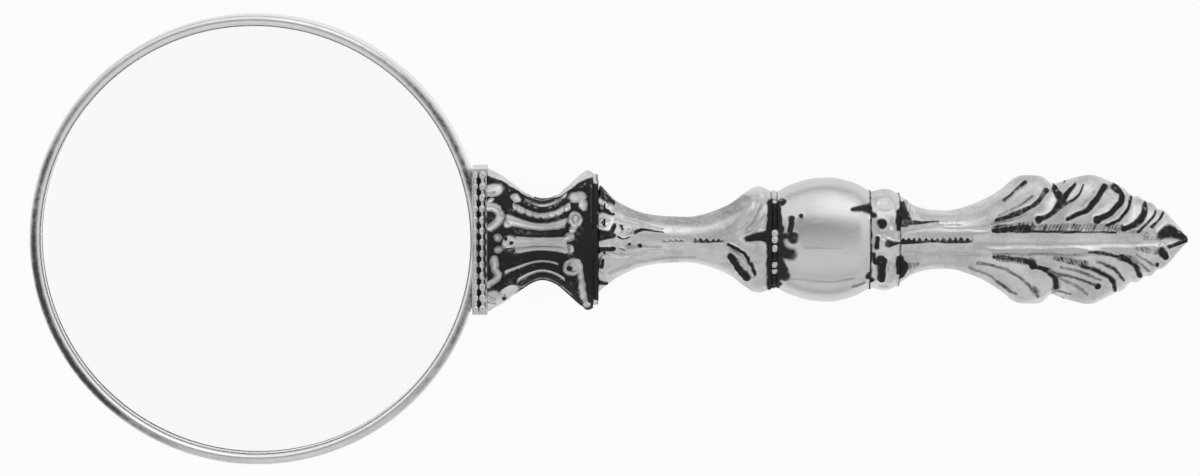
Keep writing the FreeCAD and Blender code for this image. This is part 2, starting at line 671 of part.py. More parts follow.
def knop():
    """The knop's two shells and the pitch that fills them."""
    plain = ("dims.knop_end_width", "dims.knop_end_depth")
    full = ("dims.knop_width", "dims.knop_depth")
    ovals = stations(KNOP_START, "dims.knop_length", KNOP_SHARES, plain, full)
    halves("knop", cut("knop_shell", oval_loft("knop_outside", ovals), oval_loft("knop_inside", ovals, "dims.knop_wall")))
    hole = drill("knop_rod_hole", less(KNOP_START, "dims.overrun"), total(KNOP_END, "dims.overrun"), ROD_HOLE)
    pitch = oval_loft("knop_pitch", ovals, total("dims.knop_wall", "dims.filler_gap"))
    node(cut("knop_filling", pitch, hole), "knop_filler")


def leaf_collar():
    """The swelling collar between knop and leaf."""
    plain = ("dims.leaf_collar_end_width", "dims.leaf_collar_end_depth")
    full = ("dims.leaf_collar_width", "dims.leaf_collar_depth")
    ovals = stations(KNOP_END, "dims.leaf_collar_length", LEAF_COLLAR_SHARES, plain, full)
    hole = drill("leaf_collar_hole", less(KNOP_END, "dims.overrun"), total(LEAF_START, "dims.overrun"), ROD_HOLE)
    node(cut("leaf_collar_bored", oval_loft("leaf_collar_solid", ovals), hole), "leaf_collar")


def leaf_notches(name, skin):
    """Upright round tools for the notches in the leaf's outline, made larger all round by a skin."""
    tools = []
    for radius, shares in (
        ("dims.leaf_notch_radius", LEAF_NOTCH_SHARES),
        ("dims.leaf_scallop_radius", LEAF_SCALLOP_SHARES),
    ):
        for along, left in shares:
            for side in (1, -1):
                tool = DOC.addObject("Part::Cylinder", f"{name}_{len(tools)}")
                bind(tool, Radius=total(radius, skin), Height=times(2, AXIS_Z))
                across = total(times(0.5 * left, "dims.leaf_lobe_width"), radius)
                put(tool, total(LEAF_START, times(along, "dims.leaf_length")), times(side, across), negative(AXIS_Z))
                tools.append(tool)
    return tools


def leaf_veins():
    """Round tools that press the veins into the leaf's front, from the midrib out to the lobes."""
    tools = []
    length, half_width, half_depth = (
        number("dims.leaf_length"),
        0.5 * number("dims.leaf_lobe_width"),
        0.5 * number("dims.leaf_lobe_depth"),
    )
    lift = number(less("dims.vein_radius", "dims.vein_depth"))
    for shares in LEAF_VEIN_SHARES:
        ends = []
        for along, across in shares:
            depth = half_depth * math.sqrt(1 - across**2)
            ends.append(FreeCAD.Vector(along * length, across * half_width, depth + lift))
        for side in (1, -1):
            first, last = (FreeCAD.Vector(end.x, side * end.y, end.z) for end in ends)
            way = last.sub(first)
            tool = DOC.addObject("Part::Cylinder", f"vein_{len(tools)}")
            tool.Placement = FreeCAD.Placement(FreeCAD.Vector(), FreeCAD.Rotation(Z_AXIS, way))
            tool.Height = way.Length
            bind(tool, Radius="dims.vein_radius")
            put(tool, total(LEAF_START, first.x), first.y, first.z)
            tools.append(tool)
    return tools


def leaf():
    """The leaf's two shells and the pitch that fills them behind the tang nut."""
    base = ("dims.leaf_base_width", "dims.leaf_base_depth")
    lobe = ("dims.leaf_lobe_width", "dims.leaf_lobe_depth")
    hollow = stations(LEAF_START, "dims.leaf_length", LEAF_BASE_SHARES, LEAF_WAIST, base)
    hollow += stations(LEAF_START, "dims.leaf_length", level(LEAF_WAIST_SHARES), LEAF_WAIST, LEAF_WAIST)
    hollow += stations(LEAF_START, "dims.leaf_length", LEAF_RISE_SHARES + LEAF_LOBE_SHARES, LEAF_WAIST, lobe)
    point = [
        (total(LEAF_START, times(along, "dims.leaf_length")), times(wide, lobe[0]), times(deep, lobe[1]))
        for along, wide, deep in LEAF_POINT_SHARES + LEAF_LAST_SHARES
    ]
    hollow += point[: len(LEAF_POINT_SHARES)]
    whole = hollow + point[len(LEAF_POINT_SHARES) :] + [(LEAF_END, *LEAF_TIP)]
    space = cut(
        "leaf_space",
        oval_loft("leaf_inside", hollow, "dims.leaf_wall"),
        *leaf_notches("inner_notch", "dims.leaf_wall"),
    )
    halves("leaf", cut("leaf_shell", oval_loft("leaf_outside", whole), space), *leaf_notches("notch", 0), *leaf_veins())
    skin = total("dims.leaf_wall", "dims.filler_gap")
    nut_space = drill("leaf_nut_space", KNOP_END, total(ROD_END, "dims.filler_gap"), "dims.leaf_base_width")
    node(
        cut("leaf_filling", oval_loft("leaf_pitch", hollow, skin), nut_space, *leaf_notches("pitch_notch", skin)),
        "leaf_filler",
    )


def fasteners():
    """The stud with its nut and thrust washer, and the tang rod with its washer and nut."""
    node(tube("stud", STUD_START, STUD_END, 0, STUD_RADIUS), "rim_stud")
    nut("stud_nut", STUD_NUT_START, "dims.stud_nut_thickness", STUD_RADIUS, STUD_HOLE)
    washer = tube("washer", WASHER_START, WASHER_END, STUD_HOLE, total(STUD_HOLE, "dims.washer_wall"))
    node(washer, "thrust_washer")
    node(tube("rod", ROD_START, ROD_END, 0, ROD_RADIUS), "tang_rod")
    nut("tang_nut", TANG_NUT_START, "dims.tang_nut_thickness", ROD_RADIUS, ROD_HOLE)
    node(tube("tang_disc", LEAF_START, TANG_NUT_START, ROD_HOLE, total(ROD_HOLE, "dims.tang_washer_wall")), "tang_washer")


def check():
    """Stops on any object that failed, and on any piece that isn't sound."""
    failed = [obj.Label for obj in DOC.Objects if {"Invalid", "Error"} & set(obj.State)]
    for obj in NODES:
        if obj.Shape.isNull() or not obj.Shape.isValid() or not obj.Shape.Solids:
            failed.append(f"{obj.Label}'s shape")
        elif min(solid.Volume for solid in obj.Shape.Solids) <= 0:
            failed.append(f"{obj.Label}'s volume")
    if failed:
        raise RuntimeError(f"not sound: {', '.join(failed)}")


def main():
    """Builds every piece, checks it and writes its STEP file."""
    fill_sheet()
    for build in (lens, rim, retaining_ring, yoke, beaded_wires, capital, stem, collar, knop, leaf_collar, leaf, fasteners):
        build()
    DOC.recompute()
    check()
    os.makedirs("parts", exist_ok=True)
    for obj in NODES:
        obj.Shape.exportStep(os.path.join("parts", f"{obj.Label}.step"))
        box = obj.Shape.optimalBoundingBox(False)
        print(f"{obj.Label:24} {len(obj.Shape.Solids)} solid(s), {obj.Shape.Volume:9.1f} mm3, {len(obj.Shape.Faces)} faces")
        print(f"    X {box.XMin:.2f} {box.XMax:.2f}  Y {box.YMin:.2f} {box.YMax:.2f}  Z {box.ZMin:.2f} {box.ZMax:.2f}")


main()
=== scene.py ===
"""The looks of a silver hand magnifier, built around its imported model.

Each sub-assembly is a class that holds its sizes, makes its visible meshes and dresses them. Sizes are in
millimetres and meshes in metres. "Along" is a distance along the handle from the start of a piece, "across" a
distance from the handle's axis, and "height" the relief over a piece's plain surface.
"""

import json
import logging
import math
from dataclasses import dataclass, replace
from enum import Enum
from typing import Iterable, Sequence

import bpy
import numpy as np
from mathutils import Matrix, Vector

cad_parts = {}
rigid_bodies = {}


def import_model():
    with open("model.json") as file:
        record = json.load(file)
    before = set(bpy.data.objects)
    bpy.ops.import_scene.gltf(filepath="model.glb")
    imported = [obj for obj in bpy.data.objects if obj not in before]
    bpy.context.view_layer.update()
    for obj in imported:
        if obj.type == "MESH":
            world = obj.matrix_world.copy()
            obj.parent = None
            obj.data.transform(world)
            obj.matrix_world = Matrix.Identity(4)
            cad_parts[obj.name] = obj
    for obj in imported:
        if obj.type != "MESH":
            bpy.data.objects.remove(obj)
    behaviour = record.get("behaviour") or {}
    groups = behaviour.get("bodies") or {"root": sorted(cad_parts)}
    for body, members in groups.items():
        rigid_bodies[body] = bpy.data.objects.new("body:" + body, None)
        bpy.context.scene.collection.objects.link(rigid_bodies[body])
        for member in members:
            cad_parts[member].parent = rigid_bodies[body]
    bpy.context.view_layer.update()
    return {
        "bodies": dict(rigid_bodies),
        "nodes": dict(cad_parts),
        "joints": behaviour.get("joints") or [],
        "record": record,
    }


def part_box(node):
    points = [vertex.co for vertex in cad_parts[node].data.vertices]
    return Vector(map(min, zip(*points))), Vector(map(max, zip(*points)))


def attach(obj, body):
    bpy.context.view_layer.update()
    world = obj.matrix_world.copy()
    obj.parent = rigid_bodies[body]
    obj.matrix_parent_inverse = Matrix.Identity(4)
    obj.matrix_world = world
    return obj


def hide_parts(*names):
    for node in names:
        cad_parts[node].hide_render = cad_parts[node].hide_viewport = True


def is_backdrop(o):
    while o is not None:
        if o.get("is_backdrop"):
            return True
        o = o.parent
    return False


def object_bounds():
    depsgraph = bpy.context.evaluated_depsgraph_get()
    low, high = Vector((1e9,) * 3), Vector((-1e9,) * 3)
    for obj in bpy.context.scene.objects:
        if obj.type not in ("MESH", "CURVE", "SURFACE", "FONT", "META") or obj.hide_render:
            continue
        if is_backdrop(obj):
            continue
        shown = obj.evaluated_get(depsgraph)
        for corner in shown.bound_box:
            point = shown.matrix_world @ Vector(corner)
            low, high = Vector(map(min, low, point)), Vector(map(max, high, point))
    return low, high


MM = 0.001
FULL_TURN = 2 * math.pi
BUMP_DISTANCE = 0.2 * MM
INNER_INK = 0.6
SMALLEST_BEAD = 0.93
LOG = logging.getLogger("magnifier")

Path = tuple[tuple[float, float], ...]
Colour = tuple[float, float, float, float]


class Slot(Enum):
    """The record's material slots that the pieces built here stand in."""

    GLASS = "crystal_glass"
    POLISHED = "polished_silver"
    CHASED = "chased_silver"


class Side(Enum):
    """The half of the handle that a shell covers: in front of the middle plane or behind it."""

    FRONT = 1
    BACK = -1


def smooth_path(path: Sequence[tuple[float, float]], steps: int = 5) -> np.ndarray:
    """Rounds a given path into a smooth one that passes through its points.

    Args:
        path: Points of the path.
        steps: Pieces that each run is divided into.

    Returns:
        The points of the smooth path, one per row.
    """
    points = np.array(path, float)
    if len(points) < 3:
        return points
    padded = np.vstack([2 * points[0] - points[1], points, 2 * points[-1] - points[-2]])
    share = np.linspace(0, 1, steps, endpoint=False)[:, None]
    runs = []
    for before, start, end, after in zip(padded, padded[1:], padded[2:], padded[3:]):
        runs.append(
            0.5
            * (
                2 * start
                + (end - before) * share
                + (2 * before - 5 * start + 4 * end - after) * share**2
                + (3 * start - before - 3 * end + after) * share**3
            )
        )
    return np.vstack([*runs, points[-1:]])


def distance_to_path(
    path: np.ndarray, along: np.ndarray, across: np.ndarray
) -> tuple[np.ndarray, np.ndarray]:
    """Measures how far each spot of a surface is from a path.

    Args:
        path: Points of the path, one per row.
        along: Places of the spots along the piece.
        across: Places of the spots across the piece.

    Returns:
        The distances, and the share of the path at which each spot is nearest to it.
    """
    best = np.full(along.shape, np.inf)
    share = np.zeros(along.shape)
    runs = np.linalg.norm(np.diff(path, axis=0), axis=1)
    done = np.concatenate([[0], np.cumsum(runs)])
    for start, end, run, before in zip(path, path[1:], runs, done):
        way = (end - start) / max(run, 1e-9)
        reach = np.clip((along - start[0]) * way[0] + (across - start[1]) * way[1], 0, run)
        gap = np.hypot(along - start[0] - reach * way[0], across - start[1] - reach * way[1])
        nearer = gap < best
        best = np.where(nearer, gap, best)
        share = np.where(nearer, (before + reach) / max(done[-1], 1e-9), share)
    return best, share


def fade(value: np.ndarray) -> np.ndarray:
    """A smooth step from 0 to 1 as the value goes from 0 to 1."""
    value = np.clip(value, 0, 1)
    return value * value * (3 - 2 * value)


@dataclass
class Ground:
    """The surface that relief is worked into: where each spot is, and how high it stands.

    Attributes:
        along: Places along the piece.
        across: Distances from the axis, to either side alike.
        turn: Angles round the section from the front ridge, to either side alike, in radians.
        height: Heights over the plain surface.
        ink: Shares of dark colour beside what the depth collects: oxide that tools leave, and painted shade.
        signed: The distances and the angles again, with their signs.
    """

    along: np.ndarray
    across: np.ndarray
    turn: np.ndarray
    height: np.ndarray
    ink: np.ndarray
    signed: tuple[np.ndarray, np.ndarray]

    def near(self, path: Path, width: float, last: float) -> tuple[np.ndarray, np.ndarray]:
        """Measures the ground from a path whose width changes evenly along it.

        Args:
            path: Places (along, across) that the path passes through.
            width: Full width at its start.
            last: Share of the width that is left at its far end.

        Returns:
            The distance of each spot from the path, and the path's half width beside it.
        """
        gap, share = distance_to_path(smooth_path(path), self.along, self.across)
        return gap, width / 2 * (1 + (last - 1) * share)

    def lift(self, inside: np.ndarray, crest: np.ndarray, left: np.ndarray) -> None:
        """Raises a form where it stands over the ground, and wipes the oxide and painted shade off it.

        Args:
            inside: Whether each spot is within the form.
            crest: Height of the form.
            left: Share of the oxide and painted shade that is left on it.
        """
        raised = inside & (crest > self.height)
        self.height[:] = np.where(raised, crest, self.height)
        self.ink[:] = np.where(raised, self.ink * left, self.ink)

    def cut(self, share: np.ndarray, depth: float | np.ndarray) -> None:
        """Takes each spot down to a depth by a share of the way."""
        self.height[:] = (1 - share) * self.height - share * depth

    def darken(self, ink: np.ndarray) -> None:
        """Darkens each spot to at least this share of oxide and painted shade."""
        self.ink[:] = np.maximum(self.ink, ink)


class Work:
    """One thing that a tool does to the ground."""

    def work(self, ground: Ground) -> None:
        """Does it.

        Args:
            ground: The ground, whose heights and oxide are changed in place.
        """
        raise NotImplementedError


@dataclass(frozen=True)
class Groove(Work):
    """A cut along a path, with a round bottom, round ends and shoulders that fall towards it.

    Attributes:
        path: Places (along, across) that it passes through.
        width: Full width at its start.
        depth: Depth in its middle.
        last: Share of the width that is left at its far end.
        dark: Share of dark in it: oxide, and painted shade where a groove stands in for shade.
        shoulder: How far the ground beside it is drawn down.
    """

    path: Path
    width: float
    depth: float = 0.45
    last: float = 1.0
    dark: float = 1.0
    shoulder: float = 0.12

    def work(self, ground: Ground) -> None:
        """Cuts the groove into the ground."""
        gap, half = ground.near(self.path, self.width, self.last)
        ground.height[:] -= self.shoulder * np.exp(-((gap / (half + 0.7)) ** 2))
        share = fade((1.3 - gap / half) / 0.95)
        ground.cut(share, self.depth)
        ground.ink[:] = (1 - share) * ground.ink + share * self.dark


@dataclass(frozen=True)
class Rib(Work):
    """A raised bead along a path.

    Attributes:
        path: Places (along, across) that it passes through.
        width: Full width at its start.
        top: Height of its crest over the plain surface.
        drop: How much lower its flanks are than its crest.
        last: Share of the width that is left at its far end.
    """

    path: Path
    width: float
    top: float = 0.2
    drop: float = 0.5
    last: float = 1.0

    def work(self, ground: Ground) -> None:
        """Raises the bead out of the ground."""
        gap, half = ground.near(self.path, self.width, self.last)
        crest = self.top - self.drop * (gap / half) ** 2
        ground.lift(gap < half, crest, fade((gap / half - 0.35) / 0.65))


@dataclass(frozen=True)
class Boss(Work):
    """A raised, rounded form: a leaf's tip, a pearl or a curl.

    Attributes:
        place: Its middle (along, across).
        length: Full length.
        width: Full width.
        top: Height of its crown over the plain surface.
        drop: How much lower its edge is than its crown.
        lean: Turn of its length away from the handle's direction, in degrees.
    """

    place: tuple[float, float]
    length: float
    width: float
    top: float = 0.3
    drop: float = 0.9
    lean: float = 0.0

    def work(self, ground: Ground) -> None:
        """Raises the form out of the ground."""
        lean = math.radians(self.lean)
        along = ground.along - self.place[0]
        across = ground.across - self.place[1]
        down = along * math.cos(lean) + across * math.sin(lean)
        over = across * math.cos(lean) - along * math.sin(lean)
        reach = np.hypot(down / (self.length / 2), over / (self.width / 2))
        crown = self.top - self.drop * reach**2.5
        ground.lift(reach < 1, crown, fade((reach - 0.5) / 0.5))


@dataclass(frozen=True)
class Curl(Work):
    """A raised ring, as the rolled end of a leaf looks from the front.

    Attributes:
        place: Its middle (along, across).
        radius: Radius of its crest.
        width: Full width of the roll.
        top: Height of its crest over the plain surface.
        drop: How much lower its edges are than its crest.
    """

    place: tuple[float, float]
    radius: float
    width: float
    top: float = 0.3
    drop: float = 0.6

    def work(self, ground: Ground) -> None:
        """Raises the ring out of the ground."""
        gap = np.abs(np.hypot(ground.along - self.place[0], ground.across - self.place[1]) - self.radius)
        reach = gap / (self.width / 2)
        crest = self.top - self.drop * reach**2
        ground.lift(reach < 1, crest, fade((reach - 0.4) / 0.6))


@dataclass(frozen=True)
class Ridge(Work):
    """A raised line that follows the swell of a piece at one angle round its section.

    Attributes:
        turn: Its angle from the front ridge, in degrees.
        width: Its full width, in degrees.
        start: Where it starts, along the piece.
        end: Where it ends.
        top: Height of its crest over the plain surface.
        drop: How much lower its flanks are than its crest.
        beads: Distance from one bead to the next along it, or 0 where it is plain.
        notch: Depth of the notches between its beads.
        slope: Length of the slope at each end.
    """

    turn: float
    width: float
    start: float
    end: float
    top: float = 0.1
    drop: float = 0.6
    beads: float = 0.0
    notch: float = 0.3
    slope: float = 0.7

    def work(self, ground: Ground) -> None:
        """Raises the line out of the ground."""
        reach = np.abs(np.degrees(ground.turn) - self.turn) / (self.width / 2)
        notches = self.notch * np.sin(math.pi * ground.along / self.beads) ** 8 if self.beads else 0.0
        crest = self.top - self.drop * reach**2 - notches
        ends = fade((ground.along - self.start) / self.slope) * fade((self.end - ground.along) / self.slope)
        crest = crest * ends + ground.height * (1 - ends)
        clean = ends * (1 - fade((reach - 0.35) / 0.65))
        ground.lift((reach < 1) & (ends > 0), crest, 1 - clean)


@dataclass(frozen=True)
class Pit(Work):
    """A round hole with soft edges: an eye of a curl.

    Attributes:
        place: Its middle (along, across).
        width: Full width.
        depth: Depth in its middle.
    """

    place: tuple[float, float]
    width: float
    depth: float = 0.6

    def work(self, ground: Ground) -> None:
        """Drills the pit into the ground."""
        gap = np.hypot(ground.along - self.place[0], ground.across - self.place[1])
        share = fade(1.8 * (1 - gap / (self.width / 2)))
        ground.cut(share, self.depth)
        ground.darken(share)


@dataclass(frozen=True)
class Hatching(Work):
    """Fine dark strokes across a path, as a liner leaves them.

    Attributes:
        path: Places (along, across) that the strokes lie along.
        width: Full width at its start.
        pitch: Distance from one stroke to the next.
        lean: How far a stroke moves along for each millimetre across.
        last: Share of the width that is left at its far end.
        depth: Depth of the strokes.
        dark: Share of oxide in them.
    """

    path: Path
    width: float
    pitch: float = 0.62
    lean: float = 0.5
    last: float = 1.0
    depth: float = 0.09
    dark: float = 0.85

    def work(self, ground: Ground) -> None:
        """Presses the strokes into the ground."""
        gap, half = ground.near(self.path, self.width, self.last)
        patch = fade(2.5 * (1 - gap / half))
        stroke = FULL_TURN * (ground.along - self.lean * ground.across) / self.pitch
        wave = 0.5 + 0.5 * np.cos(stroke + 1.2 * np.sin(0.31 * stroke))
        worn = 0.9 + 0.1 * np.sin(0.23 * stroke + 2 * ground.across)
        ground.height[:] -= patch * self.depth * (0.35 + 0.65 * wave)
        ground.darken(patch * self.dark * worn * (0.62 + 0.38 * wave))


@dataclass(frozen=True)
class Shade(Work):
    """A band of painted shade along a path, with soft edges, that leaves the relief as it is.

    Attributes:
        path: Places (along, across) that it passes through.
        width: Full width at its start.
        dark: Share of painted shade in its middle.
        last: Share of the width that is left at its far end.
    """

    path: Path
    width: float
    dark: float = 0.45
    last: float = 1.0

    def work(self, ground: Ground) -> None:
        """Paints the shade on the ground."""
        gap, half = ground.near(self.path, self.width, self.last)
        ground.darken(self.dark * fade(1.4 * (1 - gap / half)))


@dataclass(frozen=True)
class Teeth(Work):
    """A dark saw-toothed line down the middle of a piece.

    Attributes:
        start: Where it starts, along the piece.
        end: Where it ends.
        pitch: Distance from one tooth to the next.
        root: Half width between the teeth.
        tip: Half width at the teeth.
        dark: Share of oxide in it.
        edge: Width of its soft edges.
        depth: Depth of the line.
    """

    start: float
    end: float
    pitch: float = 1.3
    root: float = 0.25
    tip: float = 0.95
    dark: float = 0.9
    edge: float = 0.22
    depth: float = 0.08

    def work(self, ground: Ground) -> None:
        """Cuts the line into the ground, with its teeth on the far side of the axis."""
        saw = np.abs(((ground.along - self.start) / self.pitch) % 1 - 0.5) * 2
        half = self.root + (self.tip - self.root) * saw
        ends = fade((ground.along - self.start) / self.pitch) * fade((self.end - ground.along) / self.pitch)
        cut = fade((half - ground.across) / self.edge) * fade((ground.across + self.root) / self.edge) * ends
        ground.height[:] -= cut * self.depth
        ground.darken(cut * self.dark)


@dataclass(frozen=True)
class Sink(Work):
    """A stretch of ground round the whole section that lies lower and is dark.

    Attributes:
        start: Where it starts, along the piece.
        end: Where it ends.
        depth: How much lower it lies.
        edge: Length of the slope at each end.
        dark: Share of dark on it: oxide, and painted shade where a sink stands in for shade.
        inward: How much further along its start lies at the silhouette than at the front ridge.
        flank: Share of its depth that is left at the silhouette.
    """

    start: float
    end: float
    depth: float
    edge: float = 0.5
    dark: float = 1.0
    inward: float = 0.0
    flank: float = 1.0

    def work(self, ground: Ground) -> None:
        """Lowers the ground."""
        outward = np.sin(ground.turn) ** 2
        start = self.start + self.inward * outward
        share = fade((ground.along - start) / self.edge) * fade((self.end - ground.along) / self.edge)
        ground.cut(share, self.depth * (1 - (1 - self.flank) * outward**2))
        ground.darken(share * self.dark)


@dataclass(frozen=True)
class OneSide(Work):
    """Works on one side of the axis alone: the hand was uneven, and painted light and shade differ by side.

    Attributes:
        sign: 1 for the side toward +Y, -1 for the other.
        works: The works, with places counted toward that side.
    """

    sign: int
    works: tuple[Work, ...]

    def work(self, ground: Ground) -> None:
        """Does the works."""
        across, turn = ground.signed
        turned = replace(ground, across=self.sign * across, turn=self.sign * turn)
        for work in self.works:
            work.work(turned)


def above(*works: Work) -> OneSide:
    """Works on the side toward +Y."""
    return OneSide(1, works)


def below(*works: Work) -> OneSide:
    """Works on the side toward -Y."""
    return OneSide(-1, works)


def outline_at(outline: Path, along: np.ndarray) -> np.ndarray:
    """Reads an outline, which runs smoothly through its given points.

    Args:
        outline: Places along a piece, each with the piece's size there.
        along: Places at which the size is wanted.

    Returns:
        The sizes.
    """
    places, sizes = np.array(outline, float).T
    slopes = np.gradient(sizes, places)
    run = np.clip(np.searchsorted(places, along, side="right") - 1, 0, len(places) - 2)
    width = places[run + 1] - places[run]
    share = np.clip((along - places[run]) / width, 0, 1)
    return (
        (1 + 2 * share) * (1 - share) ** 2 * sizes[run]
        + share * (1 - share) ** 2 * width * slopes[run]
        + share**2 * (3 - 2 * share) * sizes[run + 1]
        + share**2 * (share - 1) * width * slopes[run + 1]
    )


def linked(name: str, data: bpy.types.ID) -> bpy.types.Object:
    """Makes an object of a mesh, a camera or a lamp, and links it to the scene."""
    thing = bpy.data.objects.new(name, data)
    bpy.context.scene.collection.objects.link(thing)
    return thing


def new_mesh_object(name: str, points: np.ndarray, faces: Iterable[Sequence[int]]) -> bpy.types.Object:
    """Makes a smooth-shaded mesh object at the origin.

    Args:
        name: Name of the piece.
        points: Vertices in metres, one per row.
        faces: Corners of each face.

    Returns:
        The new object, linked to the scene.
    """
    mesh = bpy.data.meshes.new(name)
    mesh.from_pydata([tuple(point) for point in points], [], [tuple(face) for face in faces])
    mesh.polygons.foreach_set("use_smooth", [True] * len(mesh.polygons))
    mesh.update()
    LOG.info("%s: %d faces", name, len(mesh.polygons))
    return linked(name, mesh)


def grid_faces(
    rows: int, columns: int, first: int = 0, flip: bool = False, closed: bool = False
) -> list[list[int]]:
    """Faces of a grid of vertices that is stored row by row.

    Args:
        rows: Rows of the grid.
        columns: Columns of the grid.
        first: Index of its first vertex.
        flip: Whether the faces point the other way.
        closed: Whether the last column joins the first.

    Returns:
        The corners of each face.
    """
    row = np.arange(rows - 1)[:, None] * columns
    here = np.arange(columns if closed else columns - 1)[None, :]
    following = (here + 1) % columns
    corners = [row + here, row + following, row + columns + following, row + columns + here]
    faces = np.stack([corner + first for corner in corners], axis=-1).reshape(-1, 4)
    return (faces[:, ::-1] if flip else faces).tolist()


def set_attribute(piece: bpy.types.Object, name: str, values: np.ndarray) -> None:
    """Stores one number for each vertex of a piece, for its finish to read."""
    attribute = piece.data.attributes.new(name, "FLOAT", "POINT")
    attribute.data.foreach_set("value", np.asarray(values, np.float32).ravel())


@dataclass(frozen=True)
class Stage:
    """Where the handle's axis lies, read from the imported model.

    Attributes:
        axis_z: Its height in millimetres.
    """

    axis_z: float

    @classmethod
    def read(cls) -> "Stage":
        """Reads the height from the lens's box."""
        low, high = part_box("lens")
        return cls(axis_z=(low.z + high.z) / 2 / MM)


def node_span(node: str) -> tuple[float, float]:
    """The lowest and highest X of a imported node, in millimetres."""
    low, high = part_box(node)
    return low.x / MM, high.x / MM


def grid_border(rows: int, columns: int) -> np.ndarray:
    """Finds the vertices round the edge of a grid that is stored row by row.

    Args:
        rows: Rows of the grid.
        columns: Columns of the grid.

    Returns:
        Their indices, in order round the grid.
    """
    last = rows * columns - 1
    near = np.arange(columns)
    right = columns - 1 + columns * np.arange(1, rows)
    far = last - 1 - np.arange(columns - 1)
    left = columns * (rows - 2 - np.arange(rows - 2))
    return np.concatenate([near, right, far, left])


@dataclass(frozen=True)
class ChasedShell:
    """One hollow, oval piece of the handle, made of a front and a back half that carry the same relief.

    Attributes:
        name: Word that the names of its halves start with.
        nodes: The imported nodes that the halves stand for, front and back, or None.
        body: The body that it rides on.
        span: X of its start and its end, in millimetres.
        half_width: Half width along it.
        half_depth: Half depth along it.
        wall: Thickness of its wall.
        works: The tools' works, in the order in which they are done.
        step: Distance between rows of its mesh.
        columns: Columns of its mesh.
        flat: Half depth at which its crests are filed flat, front and back.
        hollow: Share of the outline that the inner wall always keeps.
        cut_share: Share of the wall that a cut may go through.
        thin_share: Share of the half depth that counts as the wall where the piece is thin.
    """

    name: str
    nodes: tuple[str | None, str | None]
    body: str
    span: tuple[float, float]
    half_width: Path
    half_depth: Path
    wall: float
    works: tuple[Work, ...]
    step: float
    columns: int = 150
    flat: float = 100.0
    hollow: float = 0.3
    cut_share: float = 0.85
    thin_share: float = 0.6

    def places(self) -> tuple[np.ndarray, np.ndarray]:
        """Where each spot of the grid is: distances along the piece and angles round it, as grids."""
        length = self.span[1] - self.span[0]
        rows = max(int(length / self.step), 8)
        along = np.linspace(0, length, rows)
        turn = np.linspace(-math.pi / 2, math.pi / 2, self.columns)
        return tuple(np.meshgrid(along, turn, indexing="ij"))

    def surface(self, along: np.ndarray, turn: np.ndarray, side: Side, skin: float = 0.0) -> np.ndarray:
        """Points of the plain oval surface, drawn in by a skin.

        Args:
            along: Distances along the piece.
            turn: Angles round it, from its ridge.
            side: The half that it is on.
            skin: How far the surface is drawn in.

        Returns:
            The points in millimetres, counted from the piece's start on its axis.
        """
        half_width = outline_at(self.half_width, along)
        half_depth = outline_at(self.half_depth, along)
        wide = np.maximum(half_width - skin, self.hollow * half_width)
        deep = np.maximum(half_depth - skin, self.hollow * half_depth)
        return np.stack([along, wide * np.sin(turn), side.value * deep * np.cos(turn)], axis=-1)

    def untouched(self, along: np.ndarray, turn: np.ndarray, over: np.ndarray, side: Side) -> Ground:
        """The ground before any work, on which places wander a little, as a hand's do.

        Args:
            along: Distances along the piece.
            turn: Angles round it, from its ridge.
            over: Distances across it, with their signs.
            side: The half that it is on.

        Returns:
            The ground.
        """
        phase = side.value
        wander = 0.08 * np.sin(1.7 * along + 2.3 * np.sin(0.9 * over) + phase)
        wander += 0.05 * np.sin(4.3 * along - 3.1 * over + 2 * phase)
        across = over + 0.08 * np.sin(2.1 * over + 1.9 * np.sin(0.8 * along) + phase)
        level = np.zeros_like(along)
        return Ground(along + wander, np.abs(across), np.abs(turn), level, level.copy(), (across, turn))

    def half(self, stage: Stage, side: Side) -> bpy.types.Object:
        """Builds one half with its relief, its inner wall and its edges.

        Args:
            stage: The height of the handle's axis.
            side: Which half it is.

        Returns:
            The piece.
        """
        along, turn = self.places()
        rows, columns = along.shape
        plain = self.surface(along, turn, side)
        down, round_way = np.gradient(plain, axis=0), np.gradient(plain, axis=1)
        normal = np.cross(down, round_way) * -side.value
        normal /= np.maximum(np.linalg.norm(normal, axis=-1, keepdims=True), 1e-9)
        ground = self.untouched(along, turn, plain[..., 1], side)
        for work in self.works:
            work.work(ground)
        deepest = self.cut_share * np.minimum(self.wall, outline_at(self.half_depth, along) * self.thin_share)
        outer = plain + normal * np.maximum(ground.height, -deepest)[..., None]
        outer[..., 2] = np.clip(outer[..., 2], -self.flat, self.flat)
        inner = self.surface(along, turn, side, self.wall)
        points = np.concatenate([outer.reshape(-1, 3), inner.reshape(-1, 3)])
        points += np.array([self.span[0], 0, stage.axis_z])
        count = rows * columns
        flip = side is Side.BACK
        faces = grid_faces(rows, columns, 0, flip) + grid_faces(rows, columns, count, not flip)
        border = grid_border(rows, columns)
        following = np.roll(border, -1)
        edge = np.stack([border, border + count, following + count, following], axis=-1)
        faces += (edge[:, ::-1] if flip else edge).tolist()
        piece = new_mesh_object(f"{self.name}_{side.name.lower()}", points * MM, faces)
        set_attribute(piece, "ink", np.concatenate([ground.ink.ravel(), np.full(count, INNER_INK)]))
        set_attribute(piece, "relief", np.concatenate([ground.height.ravel(), np.zeros(count)]))
        return piece

    def build(self, stage: Stage, finish: bpy.types.Material, slot: Slot) -> None:
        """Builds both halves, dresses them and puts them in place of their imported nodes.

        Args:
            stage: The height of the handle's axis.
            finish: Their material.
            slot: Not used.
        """
        for side, node in zip(Side, self.nodes):
            piece = self.half(stage, side)
            piece.data.materials.append(finish)
            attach(piece, self.body)
            if node:
                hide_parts(node)


